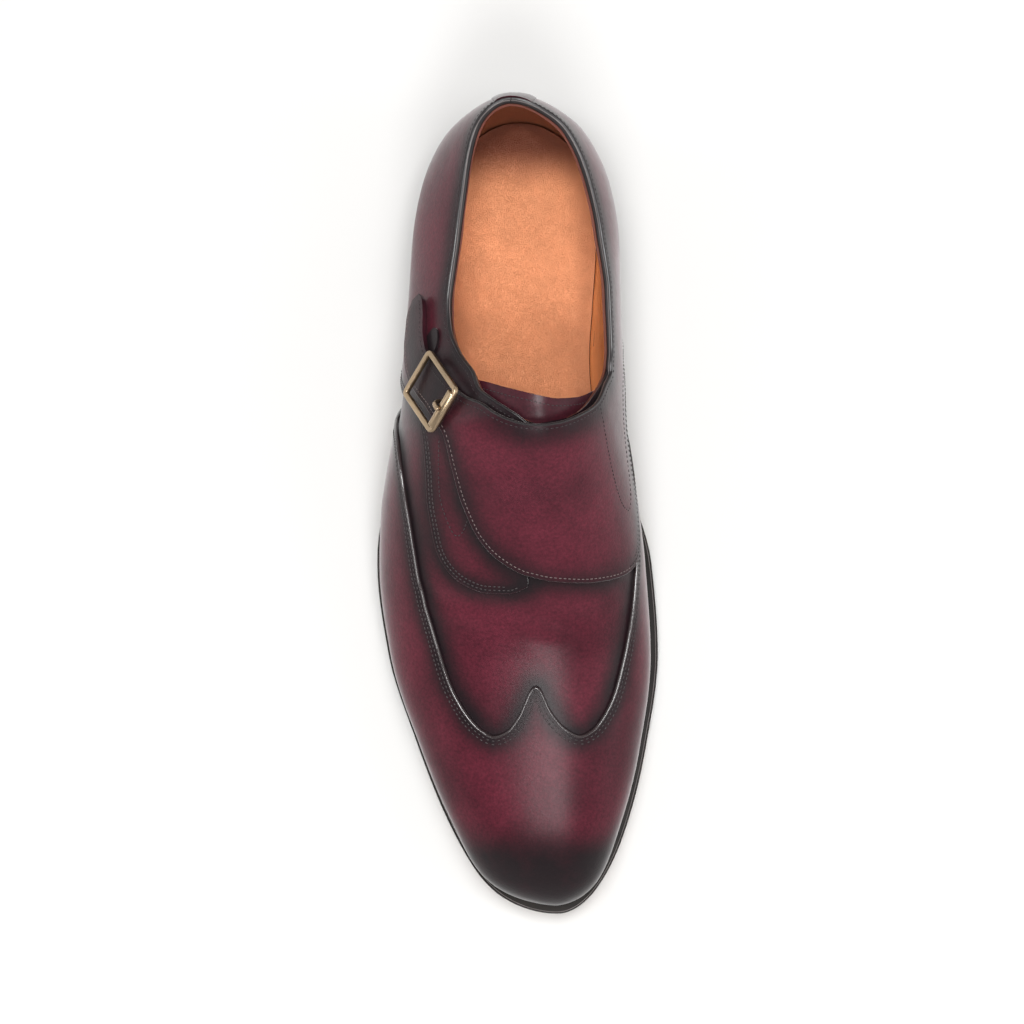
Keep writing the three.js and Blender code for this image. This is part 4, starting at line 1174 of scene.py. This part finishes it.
def prong_piece():
    key = np.linspace(0, 1, len(PRONG))
    u = np.linspace(0, 1, 26)
    x, z = cubic(key, [a for a, _ in PRONG])(u), cubic(key, [b for _, b in PRONG])(u)
    centre = on_buckle(x, 0 * x, z)
    ahead = unit(np.gradient(centre, axis=0))
    out = np.cross(ahead, np.broadcast_to(across, ahead.shape))
    taper = np.clip(np.sqrt(np.clip((1 - u) / 0.08, 0, 1)), 0.3, 1)[:, None, None]
    return tube("buckle_prong_brass", centre, ahead, out, PRONG_HALF_WIDTH * taper,
                PRONG_HALF_HEIGHT * taper, BRASS, "buckle", 12)


frame_piece = buckle_frame()
roller()
prong = prong_piece()

# The panel's rows that make the strap itself, and the share of the strap at the first
STRAP_ROWS = PANEL[13:]
STRAP_START = 0.055


def strap_share(at, v):
    """A place on the strap's own run near the buckle, by its shares along and across."""
    key = np.linspace(STRAP_START, 1, len(STRAP_ROWS))
    low = [cubic(key, [r[k] for r in STRAP_ROWS])(at) for k in (0, 1)]
    high = [cubic(key, [r[k] for r in STRAP_ROWS])(at) for k in (2, 3)]
    around, along = high[0] + (low[0] - high[0]) * v, high[1] + (low[1] - high[1]) * v
    return turn_at(along * SOLE), around


# The tab's place along the strap and its half width, as shares of the strap's length
TAB_AT = 0.79
TAB_HALF = 0.034


def tab_grid(lift):
    i, j = mesh_grid(16, 40)
    reach = 1 - np.cos(j * np.pi / 2)
    inward = 1 - np.minimum(reach / 0.2, 1)
    half = TAB_HALF * np.sqrt(np.maximum(1 - inward ** 2, 0.02))
    turn, around = strap_share(TAB_AT + half * (2 * i - 1), 1.5 * reach - 0.45)
    return on_last(turn, around, lift)


tab = thick_sheet("buckle_tab_leather", tab_grid(TAB_FACE), tab_grid(TAB_UNDER), DARK_LEATHER)
burnish_and_shade(tab, [], 0.4)

# Camera, light and floor
FLOOR_REACH = 6.0
floor_mesh = bpy.data.meshes.new("floor")
corners = [(x * FLOOR_REACH, y * FLOOR_REACH, 0) for x, y in ((-1, -1), (1, -1), (1, 1), (-1, 1))]
floor_mesh.from_pydata(corners, [], [(0, 1, 2, 3)])
floor = bpy.data.objects.new("floor", floor_mesh)
bpy.context.scene.collection.objects.link(floor)
paper, tree, shader = material("pale_floor")
paint(tree, shader, Base_Color=(0.64, 0.634, 0.624), Roughness=0.9)
floor_mesh.materials.append(paper)
floor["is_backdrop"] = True

world = bpy.context.scene.world or bpy.data.worlds.new("studio")
bpy.context.scene.world = world
world.use_nodes = True
sky_tree = world.node_tree
background = sky_tree.nodes.get("Background") or sky_tree.nodes.new("ShaderNodeBackground")
upward = node(sky_tree, "ShaderNodeSeparateXYZ")
sky_tree.links.new(node(sky_tree, "ShaderNodeTexCoord").outputs["Generated"], upward.inputs[0])
SKY = [(0.0, (1.0, 0.995, 0.985)), (0.3, (0.9, 0.9, 0.89)), (0.6, (0.3, 0.3, 0.3)),
       (0.9, (0.1, 0.1, 0.103))]
sky_tree.links.new(ramp(sky_tree, upward.outputs["Z"], SKY), background.inputs[0])
background.inputs[1].default_value = 0.95


def area(name, at, towards, size, power):
    """A soft rectangular lamp: metres and watts."""
    lamp = bpy.data.lights.new(name, "AREA")
    lamp.shape = "RECTANGLE"
    lamp.size, lamp.size_y = size
    lamp.energy = power
    placed = bpy.data.objects.new(name, lamp)
    placed.location = at
    placed.rotation_euler = (Vector(towards) - Vector(at)).to_track_quat("-Z", "Y").to_euler()
    bpy.context.scene.collection.objects.link(placed)


area("overhead", (0.06, 0.2, 1.6), (0, 0.05, 0), (0.6, 0.6), 24)
area("toe_side", (0.10, -0.56, 1.25), (0, -0.1, 0), (0.5, 0.4), 8)
area("left_side", (-1.4, 0.2, 0.9), (0, 0, 0.05), (0.7, 1.6), 4)
area("right_side", (1.4, -0.2, 0.9), (0, 0, 0.05), (0.7, 1.6), 4.5)

EYE = Vector((0.0654, -0.012, 1.30))
LOOK_AT = Vector((0.0, 0.0, 0.045))
LENS = 118

camera_data = bpy.data.cameras.new("camera")
camera_data.sensor_width = 36
camera_data.lens = LENS
camera = bpy.data.objects.new("camera", camera_data)
bpy.context.scene.collection.objects.link(camera)
bpy.context.scene.camera = camera
backwards = (EYE - LOOK_AT).normalized()
rightwards = Vector((0, 1, 0)).cross(backwards).normalized()
turned = Matrix((rightwards, backwards.cross(rightwards), backwards)).transposed().to_4x4()
camera.matrix_world = Matrix.Translation(EYE) @ turned
bpy.context.scene.view_settings.view_transform = "Standard"

for piece, solids in (
    (vamp, ["upper"]), (cap, ["wing_cap"]), (lateral, ["quarter_lateral"]),
    (strap, ["quarter_medial", "monk_strap"]), (tongue, ["tongue"]), (outsole, ["outsole"]),
    (welt, ["welt"]), (top_lift, ["top_lift"]), (heel, ["heel_stack"]), (sock, ["insole"]),
    (medial_binding, ["collar_binding"]), (frame_piece, ["buckle_frame"]), (prong, ["buckle_prong"]),
    (tab, ["buckle_tab"]),
):
    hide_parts(*solids)
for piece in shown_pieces():
    if piece.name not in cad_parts:
        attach(piece, "root")
